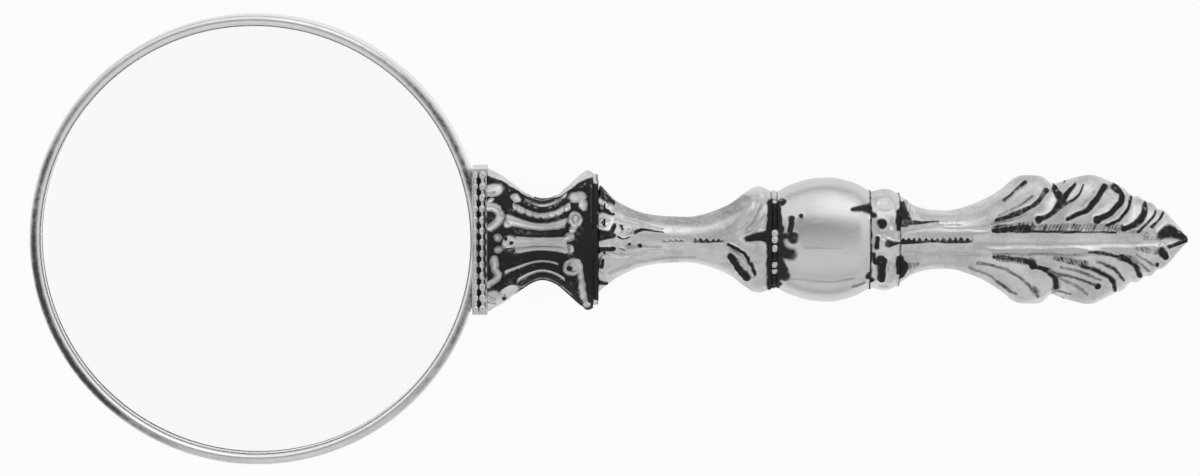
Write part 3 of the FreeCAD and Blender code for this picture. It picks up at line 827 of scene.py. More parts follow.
class Graph:
    """Adds and joins the nodes of one tree."""

    def __init__(self, tree: bpy.types.NodeTree) -> None:
        """Starts on a tree, emptied of its nodes."""
        self.tree = tree
        tree.nodes.clear()

    def add(self, kind: str, inputs: dict | None = None, **settings: object) -> bpy.types.Node:
        """Adds a node.

        Args:
            kind: The node's type.
            inputs: For each input, by name or place, a value to set or a socket to join to it.
            **settings: Properties of the node.

        Returns:
            The node.
        """
        node = self.tree.nodes.new(kind)
        for name, value in settings.items():
            setattr(node, name, value)
        for key, value in (inputs or {}).items():
            self.give(node.inputs[key], value)
        return node

    def give(self, socket: bpy.types.NodeSocket, value: object) -> None:
        """Fills one input.

        Args:
            socket: The input.
            value: A socket to join to it, or a value to set.
        """
        if isinstance(value, bpy.types.NodeSocket):
            self.tree.links.new(value, socket)
        else:
            socket.default_value = value

    def math(self, operation: str, first: object, second: object = 0.0) -> bpy.types.NodeSocket:
        """A sum or another operation on two numbers, as a socket."""
        return self.add("ShaderNodeMath", {0: first, 1: second}, operation=operation).outputs[0]

    def ramp(
        self, value: object, low: float, high: float, start: float = 0.0, end: float = 1.0
    ) -> bpy.types.NodeSocket:
        """A value taken smoothly from one range to another, as a socket."""
        inputs = {"Value": value, "From Min": low, "From Max": high, "To Min": start, "To Max": end}
        return self.add("ShaderNodeMapRange", inputs, interpolation_type="SMOOTHSTEP").outputs["Result"]

    def blend(self, share: object, first: object, second: object) -> bpy.types.NodeSocket:
        """Mixes two colours.

        Args:
            share: Share of the second colour.
            first: The first colour.
            second: The second colour.

        Returns:
            The mixed colour's socket.
        """
        mixer = self.add("ShaderNodeMix", data_type="RGBA")
        self.give(mixer.inputs[0], share)
        colours = [socket for socket in mixer.inputs if socket.type == "RGBA"]
        for socket, value in zip(colours, (first, second)):
            self.give(socket, value)
        return next(socket for socket in mixer.outputs if socket.type == "RGBA")

    def band(self, value: object, edges: tuple[float, float, float, float]) -> bpy.types.NodeSocket:
        """A number that is 1 between two soft edges of a value and 0 beyond them, as a socket."""
        start, full, ease, end = edges
        return self.math("MULTIPLY", self.ramp(value, start, full), self.ramp(value, ease, end, 1.0, 0.0))

    def place(self) -> bpy.types.NodeSocket:
        """The place of each spot on its object, as a socket."""
        return self.add("ShaderNodeTexCoord").outputs["Object"]

    def noise(self, place: bpy.types.NodeSocket, scale: object, detail: float) -> bpy.types.NodeSocket:
        """A cloudy number round 0.5, as a socket."""
        return self.add("ShaderNodeTexNoise", {"Vector": place, "Scale": scale, "Detail": detail}).outputs[0]

    def bump(self, height: bpy.types.NodeSocket, strength: float) -> bpy.types.NodeSocket:
        """A normal that a height tilts, as a socket."""
        inputs = {"Height": height, "Strength": strength, "Distance": BUMP_DISTANCE}
        return self.add("ShaderNodeBump", inputs).outputs[0]


def new_group(
    kind: str, name: str, inputs: dict[str, object], outputs: dict[str, str]
) -> tuple[bpy.types.NodeTree, Graph]:
    """Starts a node group with named inputs and outputs.

    Args:
        kind: Type of the tree.
        name: Name of the group.
        inputs: For each input its default, or a socket type where it has none.
        outputs: For each output its socket type.

    Returns:
        The group, and a graph that holds its input and output nodes.
    """
    tree = bpy.data.node_groups.new(name, kind)
    types = {float: "NodeSocketFloat", int: "NodeSocketInt", tuple: "NodeSocketColor"}
    for label, value in inputs.items():
        socket_type = value if isinstance(value, str) else types[type(value)]
        socket = tree.interface.new_socket(name=label, in_out="INPUT", socket_type=socket_type)
        if not isinstance(value, str):
            socket.default_value = value
    for label, socket_type in outputs.items():
        tree.interface.new_socket(name=label, in_out="OUTPUT", socket_type=socket_type)
    return tree, Graph(tree)


def grey(value: float) -> Colour:
    """A neutral colour."""
    return (value, value, value, 1.0)


def new_material(name: str) -> tuple[bpy.types.Material, Graph]:
    """Makes a material, and a graph on its emptied tree."""
    material = bpy.data.materials.new(name)
    material.use_nodes = True
    return material, Graph(material.node_tree)


def tarnish_and_shade_group() -> bpy.types.NodeTree:
    """Dark oxide that gathers in the relief and thins out over worn edges, with the painted shade that the
    ink carries.

    Returns:
        A group with the mask of the oxide and painted shade, and the colour of the metal under it.
    """
    inputs = {"Clean": grey(0.8), "Oxide": grey(0.02), "Ink": 0.0, "Relief": 0.0, "Film": 0.2}
    outputs = {"Color": "NodeSocketColor", "Mask": "NodeSocketFloat"}
    tree, graph = new_group("ShaderNodeTree", "tarnish_and_shade", inputs, outputs)
    given = graph.add("NodeGroupInput").outputs
    place = graph.place()
    patches = graph.noise(place, 1300.0, 3.0)
    clouds = graph.noise(place, 160.0, 3.0)
    hollows = graph.math("MULTIPLY", graph.ramp(given["Relief"], -0.5, -0.08, 1.0, 0.0), 0.9)
    ink = graph.math("MAXIMUM", given["Ink"], hollows)
    grain = graph.math("SUBTRACT", patches, 0.5)
    ragged = graph.math("MULTIPLY", grain, graph.ramp(ink, 0.35, 0.85, 0.15, 0.7))
    uneven = graph.math("MULTIPLY", ink, graph.ramp(clouds, 0.3, 0.7, 0.86, 1.1))
    crust = graph.ramp(graph.math("ADD", uneven, ragged), 0.14, 0.92)
    mottle = graph.math("ADD", graph.math("MULTIPLY", clouds, 0.7), graph.math("MULTIPLY", patches, 0.3))
    film = graph.math("MULTIPLY", graph.ramp(mottle, 0.36, 0.7), given["Film"])
    share = graph.math("MAXIMUM", crust, film)
    colour = graph.blend(share, given["Clean"], given["Oxide"])
    graph.add("NodeGroupOutput", {"Color": colour, "Mask": share})
    return tree


def polish_group() -> bpy.types.NodeTree:
    """Fine scratches and soft hammering that hand polishing leaves.

    Returns:
        A group with a height for a Bump node and a mask of the scratches.
    """
    inputs = {"Grain": 2600.0, "Waves": 220.0, "Depth": 0.5}
    outputs = {"Height": "NodeSocketFloat", "Scratches": "NodeSocketFloat"}
    tree, graph = new_group("ShaderNodeTree", "hand_polish", inputs, outputs)
    given = graph.add("NodeGroupInput").outputs
    place = graph.place()
    strokes = {"Vector": place, "Rotation": (0.2, 0.4, 0.6), "Scale": (0.12, 1.0, 1.0)}
    drawn = graph.add("ShaderNodeMapping", strokes).outputs[0]
    scratches = graph.ramp(graph.noise(drawn, given["Grain"], 2.0), 0.56, 0.7)
    waves = graph.noise(place, given["Waves"], 1.0)
    fine = graph.math("MULTIPLY", scratches, graph.math("MULTIPLY", given["Depth"], -0.12))
    graph.add("NodeGroupOutput", {"Height": graph.math("ADD", waves, fine), "Scratches": scratches})
    return tree


def wear_group() -> bpy.types.NodeTree:
    """Bright wear along edges and crests.

    Returns:
        A group with a mask of the worn places.
    """
    outputs = {"Mask": "NodeSocketFloat"}
    tree, graph = new_group("ShaderNodeTree", "edge_wear", {"Low": 0.5, "High": 0.6}, outputs)
    given = graph.add("NodeGroupInput").outputs
    crest = graph.add("ShaderNodeNewGeometry").outputs["Pointiness"]
    inputs = {"Value": crest, "From Min": given["Low"], "From Max": given["High"]}
    mask = graph.add("ShaderNodeMapRange", inputs).outputs["Result"]
    graph.add("NodeGroupOutput", {"Mask": mask})
    return tree


@dataclass(frozen=True)
class MetalFinish:
    """A metal surface with polish, tarnish, painted shade and wear.

    Attributes:
        name: Name of the material.
        clean: Colour of the bare metal.
        oxide: Colour of its tarnish and of its painted shade.
        film: Share of tarnish on open surfaces.
        roughness: Roughness of the bare metal.
        bump: Strength of the hammering and scratches.
        waves: Scale of the hammering.
        relief: Whether the piece carries the relief's attributes.
    """

    name: str
    clean: Colour
    oxide: Colour
    film: float
    roughness: float
    bump: float
    waves: float = 220.0
    relief: bool = False

    def material(self, groups: dict[str, bpy.types.NodeTree]) -> bpy.types.Material:
        """Builds the material.

        Args:
            groups: The shared node groups.

        Returns:
            The material.
        """
        material, graph = new_material(self.name)
        tarnish_and_shade = {"Clean": self.clean, "Oxide": self.oxide, "Film": self.film}
        if self.relief:
            for label in ("Ink", "Relief"):
                stored = graph.add("ShaderNodeAttribute", attribute_name=label.lower())
                tarnish_and_shade[label] = stored.outputs["Fac"]
        darken = graph.add("ShaderNodeGroup", tarnish_and_shade, node_tree=groups["tarnish_and_shade"]).outputs
        polish = graph.add("ShaderNodeGroup", {"Waves": self.waves}, node_tree=groups["polish"]).outputs
        worn = graph.add("ShaderNodeGroup", node_tree=groups["wear"]).outputs["Mask"]
        bright = graph.blend(graph.math("MULTIPLY", worn, 0.25), darken["Color"], grey(0.93))
        rough = graph.math("ADD", self.roughness, graph.math("MULTIPLY", polish["Scratches"], 0.08))
        rough = graph.math("ADD", rough, graph.math("MULTIPLY", darken["Mask"], 0.35))
        metallic = graph.math("SUBTRACT", 1.0, graph.math("MULTIPLY", darken["Mask"], 0.6))
        normal = graph.bump(polish["Height"], self.bump)
        inputs = {"Base Color": bright, "Roughness": rough, "Metallic": metallic, "Normal": normal}
        shader = graph.add("ShaderNodeBsdfPrincipled", inputs)
        graph.add("ShaderNodeOutputMaterial", {"Surface": shader.outputs[0]})
        return material


@dataclass(frozen=True)
class MatteFinish:
    """A dull, non-metallic surface, such as card or pitch.

    Attributes:
        name: Name of the material.
        dark: Its darker colour.
        light: Its lighter colour.
        scale: Scale of its mottling.
        roughness: Its roughness.
        bump: Strength of its bump.
        gloss: Its specular level.
    """

    name: str
    dark: Colour
    light: Colour
    scale: float
    roughness: float
    bump: float
    gloss: float = 0.5

    def material(self) -> bpy.types.Material:
        """Builds the material."""
        material, graph = new_material(self.name)
        mottle = graph.noise(graph.place(), self.scale, 6.0)
        colour = graph.blend(graph.ramp(mottle, 0.35, 0.65), self.dark, self.light)
        rough = graph.ramp(mottle, 0.3, 0.7, self.roughness - 0.1, self.roughness + 0.1)
        normal = graph.bump(mottle, self.bump)
        inputs = {"Base Color": colour, "Roughness": rough, "Normal": normal}
        inputs["Specular IOR Level"] = self.gloss
        shader = graph.add("ShaderNodeBsdfPrincipled", inputs)
        graph.add("ShaderNodeOutputMaterial", {"Surface": shader.outputs[0]})
        return material


@dataclass(frozen=True)
class GlassFinish:
    """Clear ground glass with faint polishing haze.

    Attributes:
        name: Name of the material.
        ior: Index of refraction.
    """

    name: str
    ior: float

    def material(self, groups: dict[str, bpy.types.NodeTree]) -> bpy.types.Material:
        """Builds the material, which lets shadow rays through."""
        material, graph = new_material(self.name)
        waves = {"Waves": 40.0, "Grain": 900.0}
        haze = graph.add("ShaderNodeGroup", waves, node_tree=groups["polish"]).outputs["Scratches"]
        rough = graph.math("MULTIPLY", haze, 0.02)
        inputs = {"Base Color": grey(1.0), "Roughness": rough, "IOR": self.ior}
        shader = graph.add("ShaderNodeBsdfPrincipled", inputs)
        shader.inputs["Transmission Weight"].default_value = 1.0
        clear = graph.add("ShaderNodeBsdfTransparent", {"Color": grey(0.97)})
        ray = graph.add("ShaderNodeLightPath").outputs["Is Shadow Ray"]
        mixed = graph.add("ShaderNodeMixShader", {0: ray, 1: shader.outputs[0], 2: clear.outputs[0]})
        graph.add("ShaderNodeOutputMaterial", {"Surface": mixed.outputs[0]})
        return material


class Finishes:
    """The materials of the magnifier, built once."""

    def __init__(self) -> None:
        """Builds the shared groups and every material."""
        groups = {"tarnish_and_shade": tarnish_and_shade_group(), "polish": polish_group(), "wear": wear_group()}
        black = grey(0.012)
        self.chased = MetalFinish(
            "chased_silver", clean=grey(0.76), oxide=black, film=0.3, roughness=0.34, bump=0.35, relief=True
        ).material(groups)
        self.cast = MetalFinish(
            "cast_silver", clean=grey(0.70), oxide=black, film=0.25, roughness=0.28, bump=0.25
        ).material(groups)
        self.polished = MetalFinish(
            "polished_silver",
            clean=grey(0.78),
            oxide=grey(0.2),
            film=0.14,
            roughness=0.2,
            bump=0.12,
            waves=60.0,
        ).material(groups)
        self.hoop = MetalFinish(
            "hoop_silver",
            clean=grey(0.86),
            oxide=grey(0.04),
            film=0.06,
            roughness=0.25,
            bump=0.12,
            waves=60.0,
            relief=True,
        ).material(groups)
        self.knop = MetalFinish(
            "burnished_silver",
            clean=grey(0.70),
            oxide=grey(0.02),
            film=0.05,
            roughness=0.3,
            bump=0.25,
            waves=110.0,
            relief=True,
        ).material(groups)
        # black for oxide and for painted shade: the bed under the yoke's beads, the capital's foot plate,
        # washer and bush, and the darkest collar beads
        self.oxide = MatteFinish(
            "black_oxide", dark=black, light=grey(0.03), scale=900.0, roughness=0.6, bump=0.3, gloss=0.15
        ).material()
        self.brass = MetalFinish(
            "plain_brass",
            clean=(0.72, 0.52, 0.24, 1.0),
            oxide=(0.12, 0.07, 0.03, 1.0),
            film=0.35,
            roughness=0.3,
            bump=0.3,
        ).material(groups)
        self.iron = MetalFinish(
            "iron_wire",
            clean=(0.35, 0.34, 0.33, 1.0),
            oxide=(0.1, 0.05, 0.03, 1.0),
            film=0.5,
            roughness=0.45,
            bump=0.5,
        ).material(groups)
        self.card = MatteFinish(
            "black_card", dark=grey(0.01), light=grey(0.03), scale=1500.0, roughness=0.85, bump=0.3
        ).material()
        self.pitch = MatteFinish(
            "dark_pitch",
            dark=(0.012, 0.009, 0.007, 1.0),
            light=(0.03, 0.02, 0.015, 1.0),
            scale=400.0,
            roughness=0.4,
            bump=0.6,
        ).material()
        self.glass = GlassFinish("crystal_glass", ior=1.52).material(groups)


@dataclass(frozen=True)
class BeadRow:
    """A wire of beads along a path, made by Geometry Nodes.

    Attributes:
        name: Name of the piece.
        path: Places of its middle line, in metres.
        count: Number of beads.
        radius: Radius of a bead.
        core: Radius of the wire that joins them.
        stretch: How much longer a bead is along Y than across.
    """

    name: str
    path: np.ndarray
    count: int
    radius: float
    core: float
    stretch: float = 1.0

    @staticmethod
    def tree() -> bpy.types.NodeTree:
        """The node tree that strings beads along a path."""
        found = bpy.data.node_groups.get("beaded_wire")
        if found:
            return found
        inputs = {
            "Geometry": "NodeSocketGeometry",
            "Beads": 13,
            "Bead radius": 0.0005,
            "Core radius": 0.0002,
            "Stretch": 1.0,
            "Seed": 3,
            "Finish": "NodeSocketMaterial",
        }
        tree, graph = new_group("GeometryNodeTree", "beaded_wire", inputs, {"Geometry": "NodeSocketGeometry"})
        given = graph.add("NodeGroupInput").outputs
        line = graph.add("GeometryNodeMeshToCurve", {"Mesh": given["Geometry"]}).outputs[0]
        inputs = {"Resolution": 12, "Radius": given["Core radius"]}
        section = graph.add("GeometryNodeCurvePrimitiveCircle", inputs)
        inputs = {"Curve": line, "Profile Curve": section.outputs[0], "Fill Caps": True}
        core = graph.add("GeometryNodeCurveToMesh", inputs)
        spots = graph.add("GeometryNodeResampleCurve", {"Curve": line, "Count": given["Beads"]})
        inputs = {"Segments": 20, "Rings": 12, "Radius": given["Bead radius"]}
        bead = graph.add("GeometryNodeMeshUVSphere", inputs)
        size = graph.add("FunctionNodeRandomValue", {"Seed": given["Seed"]}, data_type="FLOAT")
        for label, value in (("Min", SMALLEST_BEAD), ("Max", 1.0)):
            numbers = (socket for socket in size.inputs if socket.name == label and socket.type == "VALUE")
            graph.give(next(numbers), value)
        scale = next(socket for socket in size.outputs if socket.type == "VALUE")
        longer = graph.math("MULTIPLY", scale, given["Stretch"])
        shape = graph.add("ShaderNodeCombineXYZ", {"X": scale, "Y": longer, "Z": scale}).outputs[0]
        inputs = {"Points": spots.outputs[0], "Instance": bead.outputs["Mesh"], "Scale": shape}
        beads = graph.add("GeometryNodeInstanceOnPoints", inputs)
        both = graph.add("GeometryNodeJoinGeometry")
        tree.links.new(beads.outputs[0], both.inputs[0])
        tree.links.new(core.outputs[0], both.inputs[0])
        real = graph.add("GeometryNodeRealizeInstances", {"Geometry": both.outputs[0]})
        smooth = graph.add("GeometryNodeSetShadeSmooth", {"Geometry": real.outputs[0]})
        inputs = {"Geometry": smooth.outputs[0], "Material": given["Finish"]}
        dressed = graph.add("GeometryNodeSetMaterial", inputs)
        graph.add("NodeGroupOutput", {"Geometry": dressed.outputs[0]})
        return tree

    def build(self, finish: bpy.types.Material) -> bpy.types.Object:
        """Builds the wire as a plain mesh.

        Args:
            finish: Its material.

        Returns:
            The piece.
        """
        values = {
            "Beads": self.count,
            "Bead radius": self.radius * MM,
            "Core radius": self.core * MM,
            "Stretch": self.stretch,
            "Finish": finish,
        }
        return grown(self.name, self.path, self.tree(), values)


def grown(
    name: str, path: np.ndarray, tree: bpy.types.NodeTree, values: dict[str, object]
) -> bpy.types.Object:
    """Runs a node tree along a path and keeps the result as a plain mesh.

    Args:
        name: Name of the piece.
        path: Points of the path, in metres.
        tree: The node tree.
        values: Values of the tree's named inputs.

    Returns:
        The piece, with no modifier left.
    """
    edges = [(index, index + 1) for index in range(len(path) - 1)]
    mesh = bpy.data.meshes.new(name)
    mesh.from_pydata([tuple(point) for point in path], edges, [])
    piece = linked(name, mesh)
    modifier = piece.modifiers.new("shape", "NODES")
    modifier.node_group = tree
    for item in tree.interface.items_tree:
        if item.item_type == "SOCKET" and item.in_out == "INPUT" and item.name in values:
            modifier[item.identifier] = values[item.name]
    bpy.context.view_layer.update()
    ready = piece.evaluated_get(bpy.context.evaluated_depsgraph_get())
    result = bpy.data.meshes.new_from_object(ready)
    piece.modifiers.remove(modifier)
    piece.data = result
    result.name = name
    LOG.info("%s: %d faces", name, len(result.polygons))
    return piece


def finish_node(frame: dict, node: str, finish: bpy.types.Material) -> None:
    """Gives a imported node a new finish.

    Args:
        frame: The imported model.
        node: Name of the node.
        finish: Its material.
    """
    slots = frame["nodes"][node].data.materials
    slots.clear()
    slots.append(finish)
    LOG.info("%s keeps its packed shape", node)


def turned_ring(
    name: str, centre: Vector, profile: Sequence[tuple[float, float]], steps: int = 360
) -> bpy.types.Object:
    """Turns a closed outline about the lens's axis.

    Args:
        name: Name of the piece.
        centre: Centre of the lens, in metres.
        profile: Outline as (radius, height) in millimetres, so that its inside is on the left.
        steps: Steps in the full turn.

    Returns:
        The piece.
    """
    outline = np.array(profile, float)
    count = len(outline)
    angle = np.linspace(0, FULL_TURN, steps, endpoint=False)[:, None]
    radius = outline[None, :, 0]
    height = np.broadcast_to(outline[None, :, 1], (steps, count))
    points = np.stack([radius * np.cos(angle), radius * np.sin(angle), height], axis=-1)
    points = points.reshape(-1, 3) * MM + np.array(centre)
    rows = np.arange(steps)[:, None] * count
    following_rows = np.roll(rows, -1, axis=0)
    here = np.arange(count)[None, :]
    following = (here + 1) % count
    corners = [rows + here, following_rows + here, following_rows + following, rows + following]
    return new_mesh_object(name, points, np.stack(corners, axis=-1).reshape(-1, 4).tolist())


def arc_points(
    centre: tuple[float, float], radius: float, start: float, end: float, steps: int
) -> list[tuple[float, float]]:
    """Points of an arc in an outline, from one angle in degrees to another."""
    angles = np.radians(np.linspace(start, end, steps))
    return [(centre[0] + radius * math.cos(angle), centre[1] + radius * math.sin(angle)) for angle in angles]


@dataclass
class Rim:
    """The hoop with its lens, packing and retaining ring.

    Attributes:
        lip_radius: Inner radius of the hoop's front lip.
        lip_height: Height of the lip's seat over the lens's middle plane.
        groove_radius: Radius of the lens's seat.
        thread_radius: Radius of the thread behind it.
        thread_top: Height at which the thread starts.
        corner: Rounding of the back corner.
        lip_bevel: Bevel of the lip's inner edge.
        lens_edge: Thickness of the lens's edge.
        lens_rings: Rings of the mesh on each face of the lens.
        lens_steps: Steps of the mesh round the lens.
        line_radius: Radius of the line of painted shade on the hoop's front.
        line_width: Half its width.
        line_dark: Share of painted shade in it.
    """

    lip_radius: float = 37.9
    lip_height: float = 0.75
    groove_radius: float = 38.8
    thread_radius: float = 39.15
    thread_top: float = -1.2
    corner: float = 0.35
    lip_bevel: float = 0.12
    lens_edge: float = 1.2
    lens_rings: int = 48
    lens_steps: int = 256
    line_radius: float = 39.15
    line_width: float = 0.7
    line_dark: float = 0.85

    def hoop_profile(self, radius: float, half_height: float) -> list[tuple[float, float]]:
        """Outlines the hoop's section, against the clock.

        Args:
            radius: Outer radius of the hoop.
            half_height: Half its height.

        Returns:
            Points of the outline, as radius and height.
        """
        nose = (radius - self.lip_radius) / 2
        middle = (radius - nose, half_height - nose)
        bottom = -half_height
        outline = [(self.groove_radius, self.lip_height), (self.groove_radius, self.thread_top)]
        outline += [(self.thread_radius, self.thread_top), (self.thread_radius, bottom)]
        outline += arc_points((radius - self.corner, bottom + self.corner), self.corner, -90, 0, 6)
        outline += arc_points(middle, nose, 0, 180, 25)
        outline.append((self.lip_radius, self.lip_height + self.lip_bevel))
        outline.append((self.lip_radius + self.lip_bevel, self.lip_height))
        return outline

    def build(self, frame: dict, finishes: Finishes) -> None:
        """Builds the hoop and the lens, and dresses the rings.

        Args:
            frame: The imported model.
            finishes: The materials.
        """
        low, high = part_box("rim_hoop")
        centre = (low + high) / 2
        profile = self.hoop_profile((high.x - low.x) / 2 / MM, (high.z - low.z) / 2 / MM)
        hoop = turned_ring("rim_hoop_turned", centre, profile)
        hoop.data.materials.append(finishes.hoop)
        self.painted_shade_line(hoop, centre)
        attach(hoop, "rim")
        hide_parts("rim_hoop")
        self.lens(finishes)
        finish_node(frame, "retaining_ring", finishes.polished)
        finish_node(frame, "packing_ring", finishes.card)

    def painted_shade_line(self, hoop: bpy.types.Object, centre: Vector) -> None:
        """Paints a line of shade round the hoop, just outside its crest, darker to the left and right and
        darkest at the lower left.

        Args:
            hoop: The hoop.
            centre: Centre of the lens, in metres.
        """
        places = np.array([vertex.co for vertex in hoop.data.vertices]) - np.array(centre)
        radius = np.hypot(places[:, 0], places[:, 1]) / MM
        angle = np.arctan2(places[:, 1], places[:, 0])
        front = fade(places[:, 2] / MM)
        # painted shade: heavier to the left and right, heaviest at the lower left, away from the light
        shade_weight = 0.65 + 0.3 * np.cos(2 * angle - 0.3)
        shade_weight += 0.35 * np.exp(-((np.sin(angle / 2 + 1.25) / 0.25) ** 2))
        line = np.exp(-(((radius - self.line_radius) / self.line_width) ** 2))
        set_attribute(hoop, "ink", self.line_dark * shade_weight * line * front)
        set_attribute(hoop, "relief", np.zeros(len(places)))

    def lens(self, finishes: Finishes) -> None:
        """Builds the ground lens.

        Args:
            finishes: The materials.
        """
        low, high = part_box("lens")
        centre = (low + high) / 2
        radius = (high.x - low.x) / 2 / MM
        crown = (high.z - low.z) / 2 / MM
        sag = crown - self.lens_edge / 2
        curve = (radius**2 + sag**2) / (2 * sag)
        across = np.linspace(0, radius, self.lens_rings)
        height = crown - (curve - np.sqrt(curve**2 - across**2))
        outline = [*zip(across, -height), *zip(across[::-1], height[::-1])]
        turn = self.lens_steps
        angles = np.linspace(0, FULL_TURN, turn, endpoint=False)
        points = [(0, 0, -crown)]
        for reach, level in outline[1:-1]:
            points += [(reach * math.cos(angle), reach * math.sin(angle), level) for angle in angles]
        points.append((0, 0, crown))
        top = len(points) - 1
        ring = top - turn
        faces = [[0, 1 + (step + 1) % turn, 1 + step] for step in range(turn)]
        faces += grid_faces(len(outline) - 2, turn, first=1, closed=True)
        faces += [[ring + step, ring + (step + 1) % turn, top] for step in range(turn)]
        lens = new_mesh_object("ground_lens", np.array(points) * MM + np.array(centre), faces)
        lens.data.materials.append(finishes.glass)
        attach(lens, "rim")
        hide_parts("lens")


@dataclass
class Yoke:
    """The cast yoke and its rows of beads.

    Attributes:
        count: Beads in a row.
        inner: Radius of a bead in the inner row and behind.
        outer: Radius of a bead in the outer row.
        core: Radius of the wire between them.
        stretch: How much longer a bead is along its row than across.
        lower: How much lower the inner row lies than the outer one.
        end_gap: Distance from a row's last bead to the yoke's end.
        bed: Thickness of the black sheet of painted shade that lies under them.
        sunk: How far the bed is let into the yoke.
        margin: How far the bed ends inside the rows' edges.
    """

    count: int = 13
    inner: float = 0.58
    outer: float = 0.7
    core: float = 0.3
    stretch: float = 1.35
    lower: float = 0.1
    end_gap: float = 0.05
    bed: float = 0.1
    sunk: float = 0.02
    margin: float = 0.25

    def row(
        self, name: str, reach: float, height: float, bead: float, finish: bpy.types.Material
    ) -> bpy.types.Object:
        """Builds one row of beads on the yoke.

        Args:
            name: Name of the piece.
            reach: X of the row in millimetres.
            height: Z of the row in millimetres.
            bead: Radius of its beads.
            finish: Its material.

        Returns:
            The piece.
        """
        low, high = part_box("rim_yoke")
        margin = (high.y - low.y) / MM / self.count / 2 + self.end_gap
        across = np.linspace(low.y / MM + margin, high.y / MM - margin, 40)
        path = np.stack([np.full_like(across, reach), across, np.full_like(across, height)], axis=-1)
        wire = BeadRow(name, path * MM, self.count, bead, self.core, self.stretch).build(finish)
        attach(wire, "rim")
        return wire

    def build(self, frame: dict, finishes: Finishes) -> None:
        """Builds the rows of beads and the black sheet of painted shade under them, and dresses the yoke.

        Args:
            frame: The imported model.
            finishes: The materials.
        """
        low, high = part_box("front_beaded_wires")
        back_low, back_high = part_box("back_beaded_wire")
        top = high.z / MM - self.inner - self.lower
        front = self.row("inner_beads", low.x / MM + self.inner, top, self.inner, finishes.cast)
        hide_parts("front_beaded_wires")
        top = high.z / MM - self.outer
        self.row("outer_beads", high.x / MM - self.outer, top, self.outer, finishes.cast)
        middle = (back_low.x + back_high.x) / 2 / MM
        back = self.row("back_beads", middle, back_low.z / MM + self.inner, self.inner, finishes.cast)
        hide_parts("back_beaded_wire")
        self.shade_bed(low, high, finishes.oxide)
        finish_node(frame, "rim_yoke", finishes.cast)

    def shade_bed(self, low: Vector, high: Vector, finish: bpy.types.Material) -> None:
        """Lays a thin black sheet under the front rows: painted shade between the beads.

        Args:
            low: The low corner of the rows' box, in metres.
            high: Its high corner.
            finish: The bed's material.
        """
        edge = self.margin * MM
        left, right, bottom, far = low.x + edge, high.x - edge, low.y + 3 * edge, high.y - 3 * edge
        base = low.z - self.sunk * MM
        corners = [(left, bottom), (right, bottom), (right, far), (left, far)]
        points = [(x, y, base + height) for height in (0.0, self.bed * MM) for x, y in corners]
        sides = [(corner, (corner + 1) % 4, (corner + 1) % 4 + 4, corner + 4) for corner in range(4)]
        # black sheet: painted shade that shows between the beads
        bed = new_mesh_object("bead_shade_bed", np.array(points), [(3, 2, 1, 0), (4, 5, 6, 7), *sides])
        bed.data.polygons.foreach_set("use_smooth", [False] * 6)
        bed.data.materials.append(finish)
        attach(bed, "rim")


@dataclass
class HandlePiece:
    """A sub-assembly of the handle that shows as one chased shell.

    Attributes:
        name: Word that the names of its halves start with.
        nodes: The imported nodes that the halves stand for, front and back, or None.
        wall: Thickness of its wall.
        step: Distance between rows of its mesh.
        half_width: Half width of its outline along it.
        half_depth: Half depth of its outline along it.
        body: The body that it rides on.
        columns: Columns of its mesh.
        overhang: How far it reaches back over the piece before it.
    """

    name: str
    nodes: tuple[str, str | None]
    wall: float
    step: float
    half_width: Path
    half_depth: Path
    body: str = "handle"
    columns: int = 150
    overhang: float = 0.0

    def works(self) -> tuple[Work, ...]:
        """The tools' works on it, in the order in which they are done."""
        raise NotImplementedError

    def shell(self, flat: float = 100.0) -> ChasedShell:
        """Makes its shell.

        Args:
            flat: Half depth at which its crests are filed flat, front and back.

        Returns:
            The shell, ready to be built.
        """
        start, end = node_span(self.nodes[0])
        return ChasedShell(
            name=self.name,
            nodes=self.nodes,
            body=self.body,
            span=(start - self.overhang, end),
            half_width=self.half_width,
            half_depth=self.half_depth,
            wall=self.wall,
            works=self.works(),
            step=self.step,
            columns=self.columns,
            flat=flat,
        )


